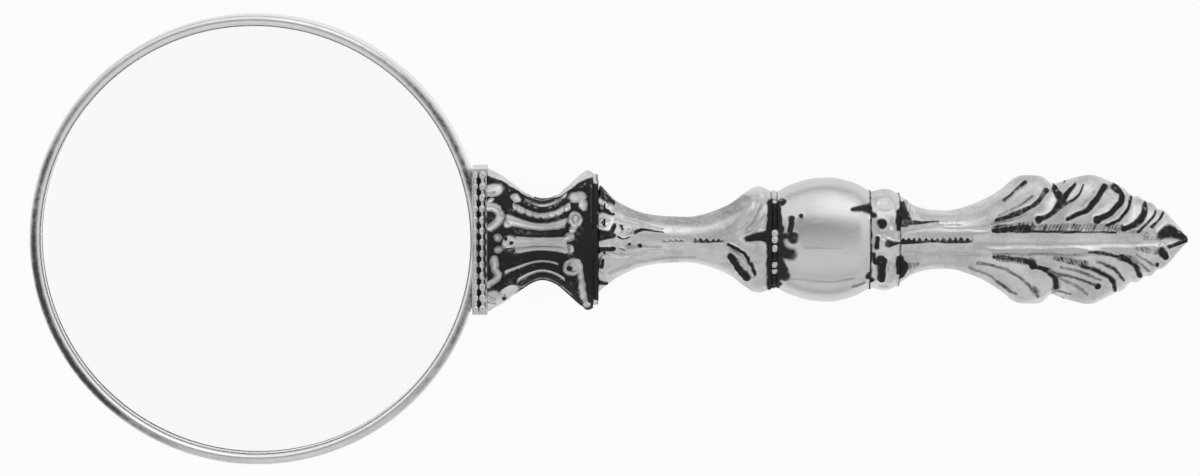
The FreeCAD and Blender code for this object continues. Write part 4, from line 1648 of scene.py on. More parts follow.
@dataclass
class Capital(HandlePiece):
    """The fluted capital between hoop and handle, ringed with leaf tips at its mouth and foot.

    Attributes:
        ground: How far the dark ground between its ridges lies below its outline.
        plate_lip: How far the worn rim of its foot plate stands out.
        plate_wall: Thickness of that rim.
    """

    name: str = "capital_casting"
    nodes: tuple[str, str | None] = ("capital_front_shell", "capital_back_shell")
    body: str = "rim"
    wall: float = 1.9
    step: float = 0.1
    columns: int = 210
    ground: float = 0.7
    plate_lip: float = 0.12
    plate_wall: float = 0.6
    half_width: Path = (
        (0.0, 12.75), (1.1, 12.2), (2.9, 11.2), (5.0, 9.6), (7.1, 8.0), (9.4, 7.1), (12.4, 8.0),
        (14.6, 9.9), (16.7, 11.8), (17.7, 12.3), (18.55, 12.0),
    )
    half_depth: Path = (
        (0.0, 7.0), (2.0, 6.5), (5.0, 5.8), (9.4, 5.0), (12.4, 5.4), (15.0, 6.4), (17.2, 7.0),
        (18.55, 6.9),
    )

    def works(self) -> tuple[Work, ...]:
        """The whole relief of the capital."""
        return self.ridges() + self.mouth() + self.foot()

    def ridges(self) -> tuple[Work, ...]:
        """The ridges of its waist, uneven as they are cast, on their dark ground, greyed with painted shade.
        """
        return (
            Sink(-4.0, 22.0, self.ground, 0.3, 1.0, 0.0, 0.35),
            above(
                Ridge(76, 9, 5.6, 13.4, -0.2, 0.4),
                Ridge(59, 9, 6.2, 14.6, -0.15, 0.4),
                Ridge(39.5, 13, 4.2, 15.2, 0.1, 0.6, 1.45),
                Ridge(22.5, 14, 2.9, 14.4, 0.15, 0.6),
                Ridge(-2, 21, 4.4, 14.6, -0.15, 0.3),
                Ridge(4, 7, 4.6, 14.2, -0.02, 0.25),
                Ridge(-8, 8, 4.8, 14.4, 0.08, 0.3),
            ),
            below(
                Ridge(27, 6, 2.6, 13.0, -0.2, 0.4),
                Ridge(45, 9, 4.8, 14.2, 0.05, 0.5),
                Ridge(63, 6, 5.5, 15.4, -0.2, 0.4),
                Ridge(84, 22, 2.0, 17.5, 0.0, 0.35),
            ),
            above(
                Hatching(((4.6, 0.9), (13.8, 0.9)), 1.2, 0.75, 1.2, 1.0, 0.04, 0.5),
                Hatching(((3.4, 3.3), (9.4, 2.5), (13.8, 3.1)), 0.9, 0.7, -0.9, 1.0, 0.04, 0.45),
            ),
            # painted shade: the whole waist greyed, and its upper flank darker still
            Shade(((5.0, 0.0), (14.6, 0.0)), 15.0, 0.4),
            Shade(((6.6, 7.2), (9.4, 6.9), (12.8, 7.6)), 2.4, 0.62),
        )

    def mouth(self) -> tuple[OneSide, ...]:
        """The leaf tips and curls where the capital meets the yoke."""
        return (
            above(
                Rib(((-1.2, 12.9), (1.9, 11.7), (4.1, 10.3), (6.2, 8.6), (8.0, 7.5)), 2.8, 0.05, 0.3, 0.2),
                Boss((0.9, 9.1), 4.8, 2.6, 0.4, 0.8, 6),
                Groove(((-0.4, 8.7), (1.4, 9.0)), 0.4, 0.05, 0.6, 0.45, 0.05),
                Groove(((-0.6, 10.9), (0.4, 10.8)), 0.9, 0.5, 0.5),
                Boss((4.9, 7.7), 2.4, 1.5, 0.3, 0.7, -30),
                Boss((0.6, 7.4), 1.6, 1.0, 0.0, 0.4, 30),
                Rib(((-0.6, 6.4), (1.4, 6.2), (2.3, 4.9), (1.9, 3.7), (0.5, 2.8)), 1.9, 0.4, 0.8, 0.9),
                Pit((0.25, 4.3), 1.2, 0.6),
                Boss((3.6, 3.4), 1.8, 1.5, 0.3, 0.8),
                Boss((1.9, 1.0), 2.1, 1.9, 0.45, 0.9),
                Boss((3.9, -0.1), 3.4, 3.4, -0.1, 0.4),
                Pit((3.3, 0.8), 1.0, 0.4),
                Pit((4.3, 0.1), 1.1, 0.4),
                Groove(((3.2, -1.0), (4.4, -0.9)), 0.5, 0.4, 0.6),
            ),
            below(
                Boss((2.0, 1.1), 1.9, 1.8, 0.45, 0.9),
                Rib(((1.3, 2.9), (1.35, 4.6), (1.9, 5.9), (0.2, 7.5)), 2.0, 0.4, 0.8, 0.8),
                Boss((0.7, 10.5), 5.4, 4.8, 0.3, 0.5, -25),
                Groove(((-0.4, 10.6), (1.2, 11.2)), 0.5, 0.1, 0.6, 0.5),
                Boss((3.9, 8.9), 4.6, 2.8, 0.3, 0.6, -25),
                Pit((2.8, 10.0), 1.2, 0.4),
                Groove(((0.2, 9.3), (1.4, 10.4)), 0.5, 0.1, 0.6, 0.5),
                Rib(((-0.6, 12.6), (2.0, 11.5), (4.6, 9.9)), 1.2, 0.1, 0.4),
            ),
        )

    def foot(self) -> tuple[OneSide, ...]:
        """The leaf tips and curls where the capital flares to the handle, and painted shade at its edge."""
        return (
            above(
                Rib(
                    ((10.6, 7.3), (13.0, 8.3), (15.4, 10.4), (17.0, 11.7), (18.6, 12.2)), 0.5, 0.05, 0.3, 5.0
                ),
                Groove(((15.6, 9.3), (17.0, 9.5)), 0.7, 0.4, 0.8, 0.8),
                Boss((16.1, 8.0), 3.9, 2.4, 0.45, 0.9, 12),
                Boss((16.9, 6.9), 1.8, 3.0, 0.4, 0.8, 15),
                Curl((15.5, 4.3), 0.85, 1.25, 0.45, 0.6),
                Boss((15.5, 4.3), 1.9, 1.9, 0.22, 0.3),
                Rib(((15.4, 3.1), (15.1, 2.3)), 1.5, 0.35, 0.7),
                Boss((14.6, 1.1), 2.1, 1.9, 0.5, 1.0),
            ),
            below(
                Boss((14.7, 1.0), 1.8, 1.9, 0.5, 1.0),
                Boss((15.3, 3.9), 3.0, 3.4, 0.1, 0.5),
                Curl((14.8, 4.4), 1.05, 1.0, 0.35, 0.7),
                Pit((14.7, 4.4), 1.2, 0.5),
                Rib(((16.0, 3.2), (16.4, 4.9), (16.7, 7.3), (17.1, 10.4)), 1.6, 0.35, 0.8, 0.9),
                Boss((17.6, 11.2), 1.6, 1.4, 0.2, 0.7),
                Pit((16.6, 10.5), 0.7, 0.4),
            ),
            # painted shade: a dark groove at the foot's edge, where the gap to the stem lies in shadow
            above(Groove(((18.5, 10.6), (18.5, 4.0)), 1.0, 0.4, 1.2)),
        )

    def plate(self, stage: Stage, finishes: Finishes) -> None:
        """Builds the worn rim of the plate that closes the capital's foot, dark with painted shade but for
        two raised strips.

        Args:
            stage: The height of the handle's axis.
            finishes: The materials.
        """
        low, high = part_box("capital_foot_plate")
        wide = (high.y - low.y) / 2 / MM + self.plate_lip
        deep = (high.z - low.z) / 2 / MM + self.plate_lip
        rim = ChasedShell(
            name="foot_plate_rim",
            nodes=(None, None),
            body="rim",
            span=node_span("capital_foot_plate"),
            half_width=((0.0, wide - 0.1), (0.45, wide), (0.9, wide - 0.3)),
            half_depth=((0.0, deep - 0.1), (0.45, deep), (0.9, deep - 0.3)),
            wall=self.plate_wall,
            works=(
                # painted shade: the whole rim darkened, as the deep gap it sits in
                Sink(-2.0, 3.0, 0.3, 0.1, 1.0),
                above(Rib(((0.5, 12.2), (0.5, 10.9)), 2.2, 0.0, 0.3)),
                below(Rib(((0.4, 11.8), (0.4, 10.9)), 1.6, 0.0, 0.3)),
            ),
            step=0.08,
        )
        rim.build(stage, finishes.chased, Slot.CHASED)

    def build(self, frame: dict, stage: Stage, finishes: Finishes) -> None:
        """Builds the capital's halves and dresses what they hold.

        Args:
            frame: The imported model.
            stage: The height of the handle's axis.
            finishes: The materials.
        """
        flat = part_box("capital_front_shell")[1].z / MM - stage.axis_z
        self.shell(flat).build(stage, finishes.chased, Slot.CHASED)
        self.plate(stage, finishes)
        # the foot plate, washer and bush go black: painted shade of the deep gap at the capital's foot
        for node in ("capital_foot_plate", "thrust_washer", "stem_bush"):
            finish_node(frame, node, finishes.oxide)
        for node in ("rim_stud", "stud_nut"):
            finish_node(frame, node, finishes.brass)


@dataclass
class Stem(HandlePiece):
    """The waisted stem, with curled leaves at its mouth and petals at its end.

    Its leaf tips reach back over the flange that closes its mouth.
    """

    name: str = "stem_stamping"
    nodes: tuple[str, str | None] = ("stem_front_shell", "stem_back_shell")
    wall: float = 0.8
    step: float = 0.12
    overhang: float = 1.25
    half_width: Path = (
        (0.0, 9.4), (0.5, 8.9), (2.4, 7.3), (4.5, 6.1), (6.7, 5.1), (9.9, 4.35), (13.2, 4.1),
        (16.7, 4.1), (20.5, 5.1), (23.7, 6.6), (25.8, 8.2), (27.9, 9.4), (29.4, 9.2), (30.4, 8.6),
    )
    half_depth: Path = (
        (0.0, 6.7), (1.3, 6.1), (2.4, 5.6), (4.5, 4.9), (6.7, 4.3), (9.9, 3.9), (13.2, 3.7),
        (16.7, 3.7), (20.5, 4.0), (23.7, 4.7), (25.8, 5.5), (27.9, 6.2), (29.4, 6.1), (30.4, 5.8),
    )

    def works(self) -> tuple[Work, ...]:
        """The whole relief of the stem."""
        return self.mouth() + self.petals()

    def mouth(self) -> tuple[OneSide, ...]:
        """The curled leaves of its mouth, with bands of painted shade along its flanks."""
        return (
            above(
                # painted shade: the grey upper flank
                Shade(
                    ((2.0, 6.6), (6.0, 4.9), (12.0, 3.7), (18.0, 3.6), (22.0, 4.9), (26.0, 7.0)),
                    3.0,
                    0.5,
                    1.5,
                ),
                Groove(((0.0, 8.6), (1.0, 7.6), (2.6, 6.4)), 2.0, 0.5, 0.2),
                Groove(((0.0, 5.9), (1.0, 5.7), (2.4, 4.9)), 2.0, 0.5, 0.4),
                Rib(((0.2, 7.2), (1.4, 6.3), (3.1, 5.0), (5.0, 4.0), (8.6, 3.0)), 0.9, 0.2, 0.4, 0.5),
                Groove(((-0.3, 2.0), (0.8, 1.7), (2.0, 1.8), (2.7, 2.9)), 1.3, 0.6, 0.7),
                Boss((0.9, 3.6), 3.0, 2.3, 0.4, 0.9),
                Boss((0.9, 3.7), 0.9, 0.7, 0.5, 0.3),
                Pit((0.9, 3.7), 0.7, 0.0),
                Groove(((-0.3, 1.1), (2.5, 1.2)), 1.4, 0.6, 0.7),
                Groove(((3.9, 3.1), (4.1, 2.2)), 0.55, 0.35, 0.8),
                Groove(((3.4, 1.0), (4.3, 0.7), (5.4, 1.0)), 0.5, 0.3, 0.7, 0.8),
                Rib(((3.2, 3.8), (5.9, 3.0), (9.0, 2.65), (11.3, 2.2)), 0.9, 0.25, 0.4, 0.5),
                Groove(((6.4, 1.7), (7.8, 2.0), (9.4, 1.9), (11.4, 1.5)), 0.75, 0.4, 0.4),
                Hatching(((4.4, 1.9), (6.6, 1.9)), 1.3, 0.6, 0.6, 1.0, 0.15, 0.6),
            ),
            below(
                Groove(((-0.3, 1.2), (2.4, 1.0)), 1.5, 0.6, 0.7),
                Rib(((-0.2, 3.6), (0.0, 2.5), (1.2, 1.8), (3.0, 2.3), (5.6, 2.5)), 1.2, 0.35, 0.6, 0.8),
                Groove(((0.7, 2.9), (0.4, 4.3)), 0.8, 0.5, 0.9),
                Boss((0.2, 5.6), 1.7, 1.5, 0.35, 0.8),
                Groove(((-0.3, 6.9), (1.2, 7.3)), 1.3, 0.5, 0.7),
                Pit((7.3, 0.65), 1.2, 0.4),
                Pit((5.4, 0.35), 0.8, 0.3),
                Groove(((3.6, 1.0), (4.6, 1.4)), 0.45, 0.3, 0.8, 0.8),
                Rib(((5.6, 2.5), (9.8, 1.6), (13.2, 2.0)), 0.9, 0.2, 0.4, 0.6),
                # painted shade along the lower flank
                Shade(((2.0, 5.6), (6.0, 4.2), (11.0, 3.1), (17.0, 2.9)), 1.5, 0.42, 0.8),
                Shade(((5.0, 0.9), (8.0, 0.8), (11.0, 0.9)), 1.6, 0.5, 0.5),
            ),
        )

    def petals(self) -> tuple[Work, ...]:
        """The petals of its end, and the saw-toothed line that runs to them."""
        return (
            above(
                Teeth(10.6, 16.0, 1.05, 0.25, 0.75, 0.62),
                Teeth(16.0, 22.8, 1.05, 0.3, 0.9, 0.78),
                Rib(((22.4, 1.1), (25.6, 3.1), (27.2, 5.5), (27.8, 8.2)), 0.8, 0.3, 0.4),
                Groove(((22.6, 2.4), (25.0, 4.3), (26.4, 6.6)), 1.0, 0.2, 0.9, 0.45),
                Groove(((26.0, 2.4), (27.6, 4.2), (28.7, 6.6)), 0.8, 0.25, 0.9, 0.5),
                Boss((28.9, 7.6), 1.8, 2.2, 0.3, 0.6),
                Rib(((25.1, 0.9), (27.5, 2.3), (29.3, 4.4)), 1.1, 0.3, 0.5, 1.2),
                Groove(((26.3, 0.7), (28.2, 1.2), (30.4, 1.0)), 1.2, 0.5, 2.0),
            ),
            below(
                Groove(((23.1, 0.4), (25.1, 1.4), (26.5, 2.8), (27.7, 5.4)), 0.85, 0.45, 0.9),
                Groove(((23.6, 2.4), (24.7, 4.3), (26.4, 6.2)), 1.8, 0.55, 0.8),
                Rib(((23.4, 1.5), (25.4, 3.2), (27.2, 6.0)), 0.8, 0.25, 0.4),
                Boss((28.1, 2.6), 3.0, 3.0, 0.2, 0.4, 40),
                Boss((28.4, 7.0), 2.4, 2.4, 0.35, 0.8),
            ),
            above(Groove(((30.3, 6.8), (30.1, 0.0), (30.3, -8.0)), 1.7, 0.4)),
        )

    def build(self, frame: dict, stage: Stage, finishes: Finishes) -> None:
        """Builds the stem's halves and dresses its filling.

        Args:
            frame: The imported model.
            stage: The height of the handle's axis.
            finishes: The materials.
        """
        self.shell().build(stage, finishes.chased, Slot.CHASED)
        finish_node(frame, "stem_filler", finishes.pitch)


@dataclass
class Collar:
    """The beaded collar between stem and knop.

    Attributes:
        bead: Radius of a bead.
        core: Radius of the wire between them.
        dark_core: The same between the black beads, which oxide and painted shade fill up.
        inset: Depth of the beads' middle line below the collar's outline.
        dark: Angles round the collar, from its front, between which the beads are black: oxide with painted
            shade over it.
    """

    bead: float = 0.62
    core: float = 0.3
    dark_core: float = 0.58
    inset: float = 0.5
    dark: tuple[float, float] = (-1.25, 0.95)

    def build(self, frame: dict, stage: Stage, finishes: Finishes) -> None:
        """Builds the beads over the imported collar.

        Args:
            frame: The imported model.
            stage: The height of the handle's axis.
            finishes: The materials.
        """
        low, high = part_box("beaded_collar")
        wide = (high.y - low.y) / 2 / MM - self.inset
        deep = (high.z - low.z) / 2 / MM - self.inset
        middle = (low.x + high.x) / 2 / MM

        def ring(angles: np.ndarray) -> np.ndarray:
            """Places on the beads' middle line, in metres."""
            across, height = wide * np.sin(angles), deep * np.cos(angles)
            return np.stack([np.full_like(angles, middle), across, stage.axis_z + height], axis=-1) * MM

        start, end = self.dark
        rows = {
            "collar_beads": (np.linspace(end, FULL_TURN + start, 60), 15, 1.0),
            "dark_beads": (np.linspace(start, end, 40), 12, 1.05),
            "worn_beads": (np.array([0.2, 0.07]), 2, 1.45),
            "worn_bead": (np.array([-0.1, -0.13]), 2, 1.25),
            "low_beads": (np.array([-0.48, -0.64]), 2, 1.3),
        }
        for name, (angles, count, size) in rows.items():
            # the dark beads take the black material: oxide with painted shade over it
            black = name == "dark_beads"
            core = self.dark_core if black else self.core
            wire = BeadRow(name, ring(angles), count, size * self.bead, core)
            beads = wire.build(finishes.oxide if black else finishes.cast)
            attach(beads, "handle")
        finish_node(frame, "beaded_collar", finishes.cast)


@dataclass
class Knop(HandlePiece):
    """The plain burnished knop."""

    name: str = "knop_stamping"
    nodes: tuple[str, str | None] = ("knop_front_shell", "knop_back_shell")
    wall: float = 0.9
    step: float = 0.15
    half_width: Path = (
        (0.0, 8.5), (1.6, 9.4), (3.7, 10.2), (5.9, 10.8), (8.0, 11.0), (10.0, 11.0), (12.4, 10.5),
        (14.4, 9.8), (16.4, 8.6),
    )
    half_depth: Path = (
        (0.0, 5.8), (2.0, 6.5), (4.3, 7.0), (6.9, 7.4), (9.5, 7.45), (12.1, 7.2), (14.4, 6.7),
        (16.4, 5.8),
    )

    def works(self) -> tuple[Work, ...]:
        """Dark marks over both ends of the knop, and grey lines of painted shade on its lower half."""
        return (
            Sink(16.0, 17.4, 0.1, 0.3, 0.3),
            above(Groove(((0.0, 6.6), (0.1, 0.0), (0.0, -7.8)), 1.5, 0.15, shoulder=0.02)),
            above(
                Pit((0.9, 7.0), 1.7, 0.12),
                Groove(((0.1, 5.4), (0.5, 2.4)), 1.1, 0.12, 1.2, shoulder=0.02),
                Groove(((2.4, 4.3), (2.1, 1.9)), 1.4, 0.12, 0.9, shoulder=0.02),
                Pit((4.0, 4.7), 1.3, 0.1),
                Groove(((0.6, 1.3), (1.6, 1.2)), 1.7, 0.1, 1.0, 0.8, shoulder=0.02),
                Pit((2.6, 1.0), 3.1, 0.14),
                Groove(((13.2, 5.9), (15.0, 6.0), (17.4, 5.7)), 0.9, 0.1, 3.2, shoulder=0.02),
            ),
            below(
                Groove(((0.4, 0.6), (0.8, 1.4), (2.2, 1.9)), 2.7, 0.14, 1.0, shoulder=0.02),
                Groove(((0.4, 3.0), (0.7, 4.1), (1.2, 5.8)), 1.6, 0.14, 1.6, shoulder=0.02),
                Pit((0.5, 7.5), 1.3, 0.1),
                Pit((16.0, 5.9), 2.0, 0.14),
                Groove(((13.3, 7.8), (15.5, 7.2)), 0.9, 0.1, 0.8, 0.6, shoulder=0.02),
                # painted shade: grey lines along the lower flank and near the middle, as darker reflections
                # there
                Shade(((2.2, 6.3), (8.0, 6.9), (13.4, 6.4)), 1.0, 0.42),
                Groove(((4.6, 0.8), (11.3, 0.8)), 0.7, 0.03, 0.6, 0.42, shoulder=0.02),
            ),
        )

    def build(self, frame: dict, stage: Stage, finishes: Finishes) -> None:
        """Builds the knop's halves and dresses its filling.

        Args:
            frame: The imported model.
            stage: The height of the handle's axis.
            finishes: The materials.
        """
        self.shell().build(stage, finishes.knop, Slot.POLISHED)
        finish_node(frame, "knop_filler", finishes.pitch)


@dataclass
class LeafCollar(HandlePiece):
    """The swelling collar of short petals that the leaf grows from."""

    name: str = "leaf_collar_casting"
    nodes: tuple[str, str | None] = ("leaf_collar", None)
    wall: float = 1.5
    step: float = 0.1
    half_width: Path = (
        (0.0, 8.4), (1.4, 8.8), (2.8, 9.0), (4.0, 8.7), (5.0, 8.1),
    )
    half_depth: Path = (
        (0.0, 5.6), (1.4, 6.0), (2.8, 6.1), (4.0, 5.9), (5.0, 5.4),
    )

    def works(self) -> tuple[Work, ...]:
        """The petals, with dark notches between them."""
        return (
            Sink(-1.0, 0.5, 0.4, 0.4, 0.4),
            Sink(4.7, 6.0, 0.3, 0.3, 0.4),
            above(
                Boss((2.4, 6.6), 3.6, 3.0, 0.35, 0.7),
                Groove(((-0.4, 4.9), (0.6, 4.7)), 1.7, 0.4, 0.8),
                Pit((1.9, 3.3), 2.3, 0.5),
                Groove(((4.7, 5.2), (4.7, 2.4)), 1.2, 0.4),
                Boss((3.6, 3.4), 1.0, 2.6, 0.2, 0.5),
                Boss((2.3, 0.9), 1.3, 1.5, 0.3, 0.6),
                Groove(((1.1, -0.7), (1.1, 0.8)), 0.9, 0.5, 1.0),
                Groove(((3.0, 0.0), (4.8, 0.0)), 1.7, 0.5, 0.3),
            ),
            below(
                Groove(((0.5, 2.0), (0.9, 3.4)), 0.9, 0.4, 0.9),
                Groove(((1.9, 3.0), (2.0, 6.2)), 1.9, 0.6, 0.9),
                Groove(((-0.4, 6.2), (0.4, 6.6)), 1.4, 0.4, 0.9),
                Groove(((4.7, 2.6), (4.7, 5.2)), 1.1, 0.4),
                Boss((3.6, 4.6), 1.5, 3.2, 0.35, 0.7),
                Boss((2.6, 7.9), 3.0, 1.6, 0.25, 0.6),
            ),
        )

    def build(self, frame: dict, stage: Stage, finishes: Finishes) -> None:
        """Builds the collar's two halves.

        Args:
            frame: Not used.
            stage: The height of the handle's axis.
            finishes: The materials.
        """
        self.shell().build(stage, finishes.chased, Slot.CHASED)


@dataclass
class Leaf(HandlePiece):
    """The stamped leaf that ends the handle."""

    name: str = "leaf_stamping"
    nodes: tuple[str, str | None] = ("leaf_front_shell", "leaf_back_shell")
    wall: float = 0.8
    step: float = 0.16
    half_width: Path = (
        (0.0, 8.2), (1.2, 7.1), (2.6, 6.2), (4.8, 5.5), (7.2, 5.2), (9.6, 5.25), (12.4, 6.0),
        (15.3, 7.2), (18.5, 9.1), (20.6, 10.9), (23.4, 11.4), (26.0, 10.9), (27.2, 9.7), (28.6, 10.1),
        (31.0, 10.9), (34.8, 11.4), (36.6, 10.6), (38.5, 9.5), (40.4, 8.6), (41.3, 7.6), (42.6, 7.6),
        (43.7, 6.5), (45.0, 6.4), (46.0, 5.4), (47.0, 5.1), (48.3, 4.0), (49.8, 2.2), (50.8, 1.0),
        (51.3, 0.5),
    )
    half_depth: Path = (
        (0.0, 5.3), (1.5, 4.7), (4.6, 4.15), (9.0, 4.0), (14.3, 4.15), (18.5, 4.4), (22.6, 4.55),
        (35.4, 4.5), (38.0, 4.1), (41.0, 3.6), (44.1, 3.0), (46.7, 2.4), (48.7, 1.65), (50.3, 0.9),
        (51.3, 0.4),
    )

    def works(self) -> tuple[Work, ...]:
        """The relief of the leaf, in the order in which it is worked."""
        return self.root() + self.midrib() + (self.upper(), self.lower()) + self.tip()

    def root(self) -> tuple[Work, ...]:
        """The dark notches, the saw-toothed line and bands of painted shade at the leaf's root."""
        return (
            Sink(-1.0, 0.35, 0.3, 0.3, 0.4),
            above(
                # painted shade: a grey band along the upper flank
                Shade(((4.0, 4.3), (9.0, 3.9), (14.0, 4.6), (18.5, 7.0)), 2.2, 0.42, 1.2),
                Groove(((0.1, 6.1), (0.4, 5.0), (0.8, 3.9)), 2.0, 0.55, 1.3),
                Groove(((0.6, 3.4), (2.0, 3.3), (4.4, 3.3), (7.0, 3.4)), 1.1, 0.4, 0.3, 0.85),
                Hatching(((1.2, 6.4), (2.0, 5.0)), 1.8, 0.5, 0.4, 0.8, 0.2, 0.6),
                Hatching(((6.0, 3.3), (11.0, 3.3)), 0.8, 0.6, 0.4, 1.0, 0.12, 0.3),
                Teeth(-0.5, 16.6, 1.05, 0.35, 1.05, 0.82),
                Groove(((0.2, 0.1), (2.4, 0.1)), 0.9, 0.2, 0.8, 0.95),
            ),
            below(
                Groove(((0.0, 3.1), (0.6, 4.2), (0.2, 5.5)), 2.1, 0.55, 0.9),
                Hatching(((1.2, 4.4), (3.4, 4.0)), 2.6, 0.5, 0.4, 0.5, 0.15, 0.7),
                # painted shade: a grey band along the lower flank
                Shade(((3.0, 4.6), (8.0, 3.9), (14.0, 4.2)), 1.2, 0.36),
            ),
            Rib(((1.0, 1.9), (6.0, 2.3), (16.0, 2.1)), 1.0, 0.15, 0.4),
        )

    def midrib(self) -> tuple[Work, ...]:
        """The midrib, the dark beds on both sides of it, and a band of painted shade below it."""
        return (
            Rib(((14.0, 0.0), (46.0, 0.0)), 3.0, 0.3, 0.4, 0.7),
            above(
                Groove(((16.6, 2.0), (19.0, 2.3), (22.6, 2.6)), 0.5, 0.4, 2.6, 0.8),
                Groove(((16.6, 1.9), (23.0, 1.9), (38.0, 1.7)), 0.9, 0.4, 0.5, 0.85),
                Hatching(((17.6, 2.3), (23.0, 2.9)), 1.5, 0.5, 0.4, 1.5, 0.05, 0.95),
                Hatching(((24.0, 2.4), (30.0, 2.7), (39.0, 2.6)), 1.9, 0.66, 0.5, 0.9, 0.05, 0.8),
                Hatching(((33.5, 2.4), (39.5, 2.0), (44.0, 1.2)), 1.4, 0.58, 0.9, 0.9, 0.04, 0.62),
            ),
            below(
                Groove(((16.9, 2.5), (20.2, 2.9), (23.2, 3.5)), 0.8, 0.4, 1.6, 0.85),
                Groove(((16.6, 2.1), (24.0, 2.1), (33.0, 2.2)), 0.5, 0.2, 0.8, 0.62),
                Hatching(((17.4, 2.7), (23.4, 3.4)), 1.5, 0.5, 0.4, 1.4, 0.05, 0.9),
                Hatching(((27.6, 2.8), (32.8, 3.9)), 1.3, 0.55, 0.4, 1.6, 0.05, 0.85),
                # painted shade along the lower bed
                Shade(((20.0, 2.0), (30.0, 2.2), (37.0, 2.0)), 1.6, 0.45),
            ),
        )

    def upper(self) -> OneSide:
        """The deep grooves, branches and curls of the upper half, under bands of painted shade."""
        return above(
            # painted shade: grey bands over the upper half
            Shade(((16.0, 4.2), (20.0, 6.2), (24.0, 8.6)), 3.4, 0.4, 1.3),
            Shade(((26.0, 3.6), (31.0, 6.0), (35.0, 9.0)), 2.2, 0.38, 1.3),
            Groove(((17.2, 3.5), (20.9, 5.0), (24.4, 6.9), (25.8, 8.9)), 0.9, 0.4, 1.0, 0.78, 0.2),
            Groove(((16.2, 3.1), (19.4, 3.7), (22.4, 4.9)), 0.55, 0.15, 0.9, 0.6),
            Groove(((17.6, 4.6), (20.6, 6.0), (23.6, 8.0)), 0.6, 0.15, 0.8, 0.6),
            Groove(((18.7, 7.1), (20.8, 9.0), (22.4, 10.3)), 0.6, 0.4, 1.4, 0.8, 0.2),
            Groove(
                ((24.5, 3.9), (26.2, 4.6), (27.6, 5.6), (28.5, 7.2), (27.6, 8.9)), 1.0, 0.55, 1.5, 1.0, 0.25
            ),
            Pit((24.5, 3.9), 1.7, 0.55),
            Pit((27.6, 9.0), 1.7, 0.55),
            Groove(((28.6, 6.7), (30.0, 8.7), (31.1, 9.9)), 0.9, 0.45, 0.8),
            Groove(((28.9, 6.4), (31.5, 7.9), (32.6, 9.7)), 0.7, 0.4, 0.7, 0.85),
            Groove(((29.6, 4.1), (33.0, 5.6), (34.9, 7.6), (36.2, 9.5)), 0.8, 0.5, 1.5, 1.0, 0.25),
            Groove(((32.2, 6.4), (33.6, 7.6), (34.4, 9.0)), 0.4, 0.2, 0.8, 0.5),
            Groove(
                ((34.7, 3.9), (37.1, 5.0), (39.0, 6.8), (39.2, 8.2), (38.0, 9.2)), 0.9, 0.5, 1.5, 1.0, 0.25
            ),
            Pit((34.7, 3.9), 1.7, 0.55),
            Groove(((36.6, 2.9), (39.0, 4.1), (40.3, 5.8), (41.0, 7.4)), 0.7, 0.4, 1.2, 0.95),
            Groove(((39.6, 2.3), (42.0, 3.3), (43.2, 4.8), (43.4, 6.2)), 0.9, 0.5, 1.4, 1.0, 0.25),
            Pit((39.6, 2.3), 1.5, 0.5),
            Groove(((42.2, 1.7), (44.7, 4.0), (45.3, 5.0)), 0.7, 0.4, 0.9, 0.9),
            Groove(((44.6, 2.4), (46.8, 4.6)), 0.7, 0.4, 0.9, 0.9),
        )

    def lower(self) -> OneSide:
        """The grooves and curls of the lower half, painted lighter than the upper half's, as light falls on
        this side.
        """
        return below(
            # painted light: these grooves carry less dark than the upper half's because light falls on this
            # side
            Groove(((14.0, 3.7), (17.2, 4.3), (20.7, 5.8), (24.3, 8.7)), 0.9, 0.25, 0.9, 0.7, 0.2),
            Groove(((24.2, 8.6), (24.7, 9.7)), 0.8, 0.3, 1.0, 0.8, 0.2),
            Groove(((12.6, 4.6), (16.0, 5.9), (18.0, 7.2)), 0.8, 0.12, 0.9, 0.56, 0.1),
            Groove(((17.6, 7.1), (19.0, 8.1), (20.9, 9.3)), 0.9, 0.25, 1.0, 0.66, 0.2),
            Groove(((23.6, 4.2), (25.8, 4.8), (27.4, 6.2), (27.9, 8.0)), 0.9, 0.5, 1.1, 1.0, 0.25),
            Pit((23.6, 4.2), 1.6, 0.55),
            Groove(((26.4, 5.1), (32.2, 6.6), (35.0, 7.8)), 0.8, 0.25, 1.2, 0.7),
            Groove(((28.6, 6.6), (31.4, 7.8), (33.4, 9.4)), 0.8, 0.12, 1.0, 0.56),
            Pit((35.2, 7.9), 1.4, 0.45),
            Groove(((27.4, 8.4), (30.6, 9.4)), 0.9, 0.3, 0.7, 0.66),
            Groove(((28.6, 4.4), (32.0, 5.2), (35.6, 6.8)), 0.8, 0.15, 1.0, 0.62),
            Groove(((32.4, 4.2), (36.0, 5.5), (37.9, 7.1), (38.4, 8.6)), 0.8, 0.4, 1.3, 0.95, 0.2),
            Groove(((34.8, 3.4), (37.9, 4.7), (39.8, 6.8)), 0.8, 0.3, 1.2, 0.8, 0.2),
            Groove(((39.2, 2.7), (41.3, 3.7), (42.7, 6.0)), 0.9, 0.45, 1.2, 1.0, 0.25),
            Pit((39.2, 2.7), 1.4, 0.5),
            Groove(((33.4, 1.7), (36.0, 1.9), (38.8, 2.6)), 0.7, 0.3, 1.4, 0.85),
            Groove(((40.6, 2.6), (44.4, 5.2)), 0.75, 0.2, 1.0, 0.66),
            Groove(((42.0, 2.3), (45.0, 4.2)), 0.7, 0.2, 1.0, 0.62),
            Pit((45.7, 4.2), 1.1, 0.4),
        )

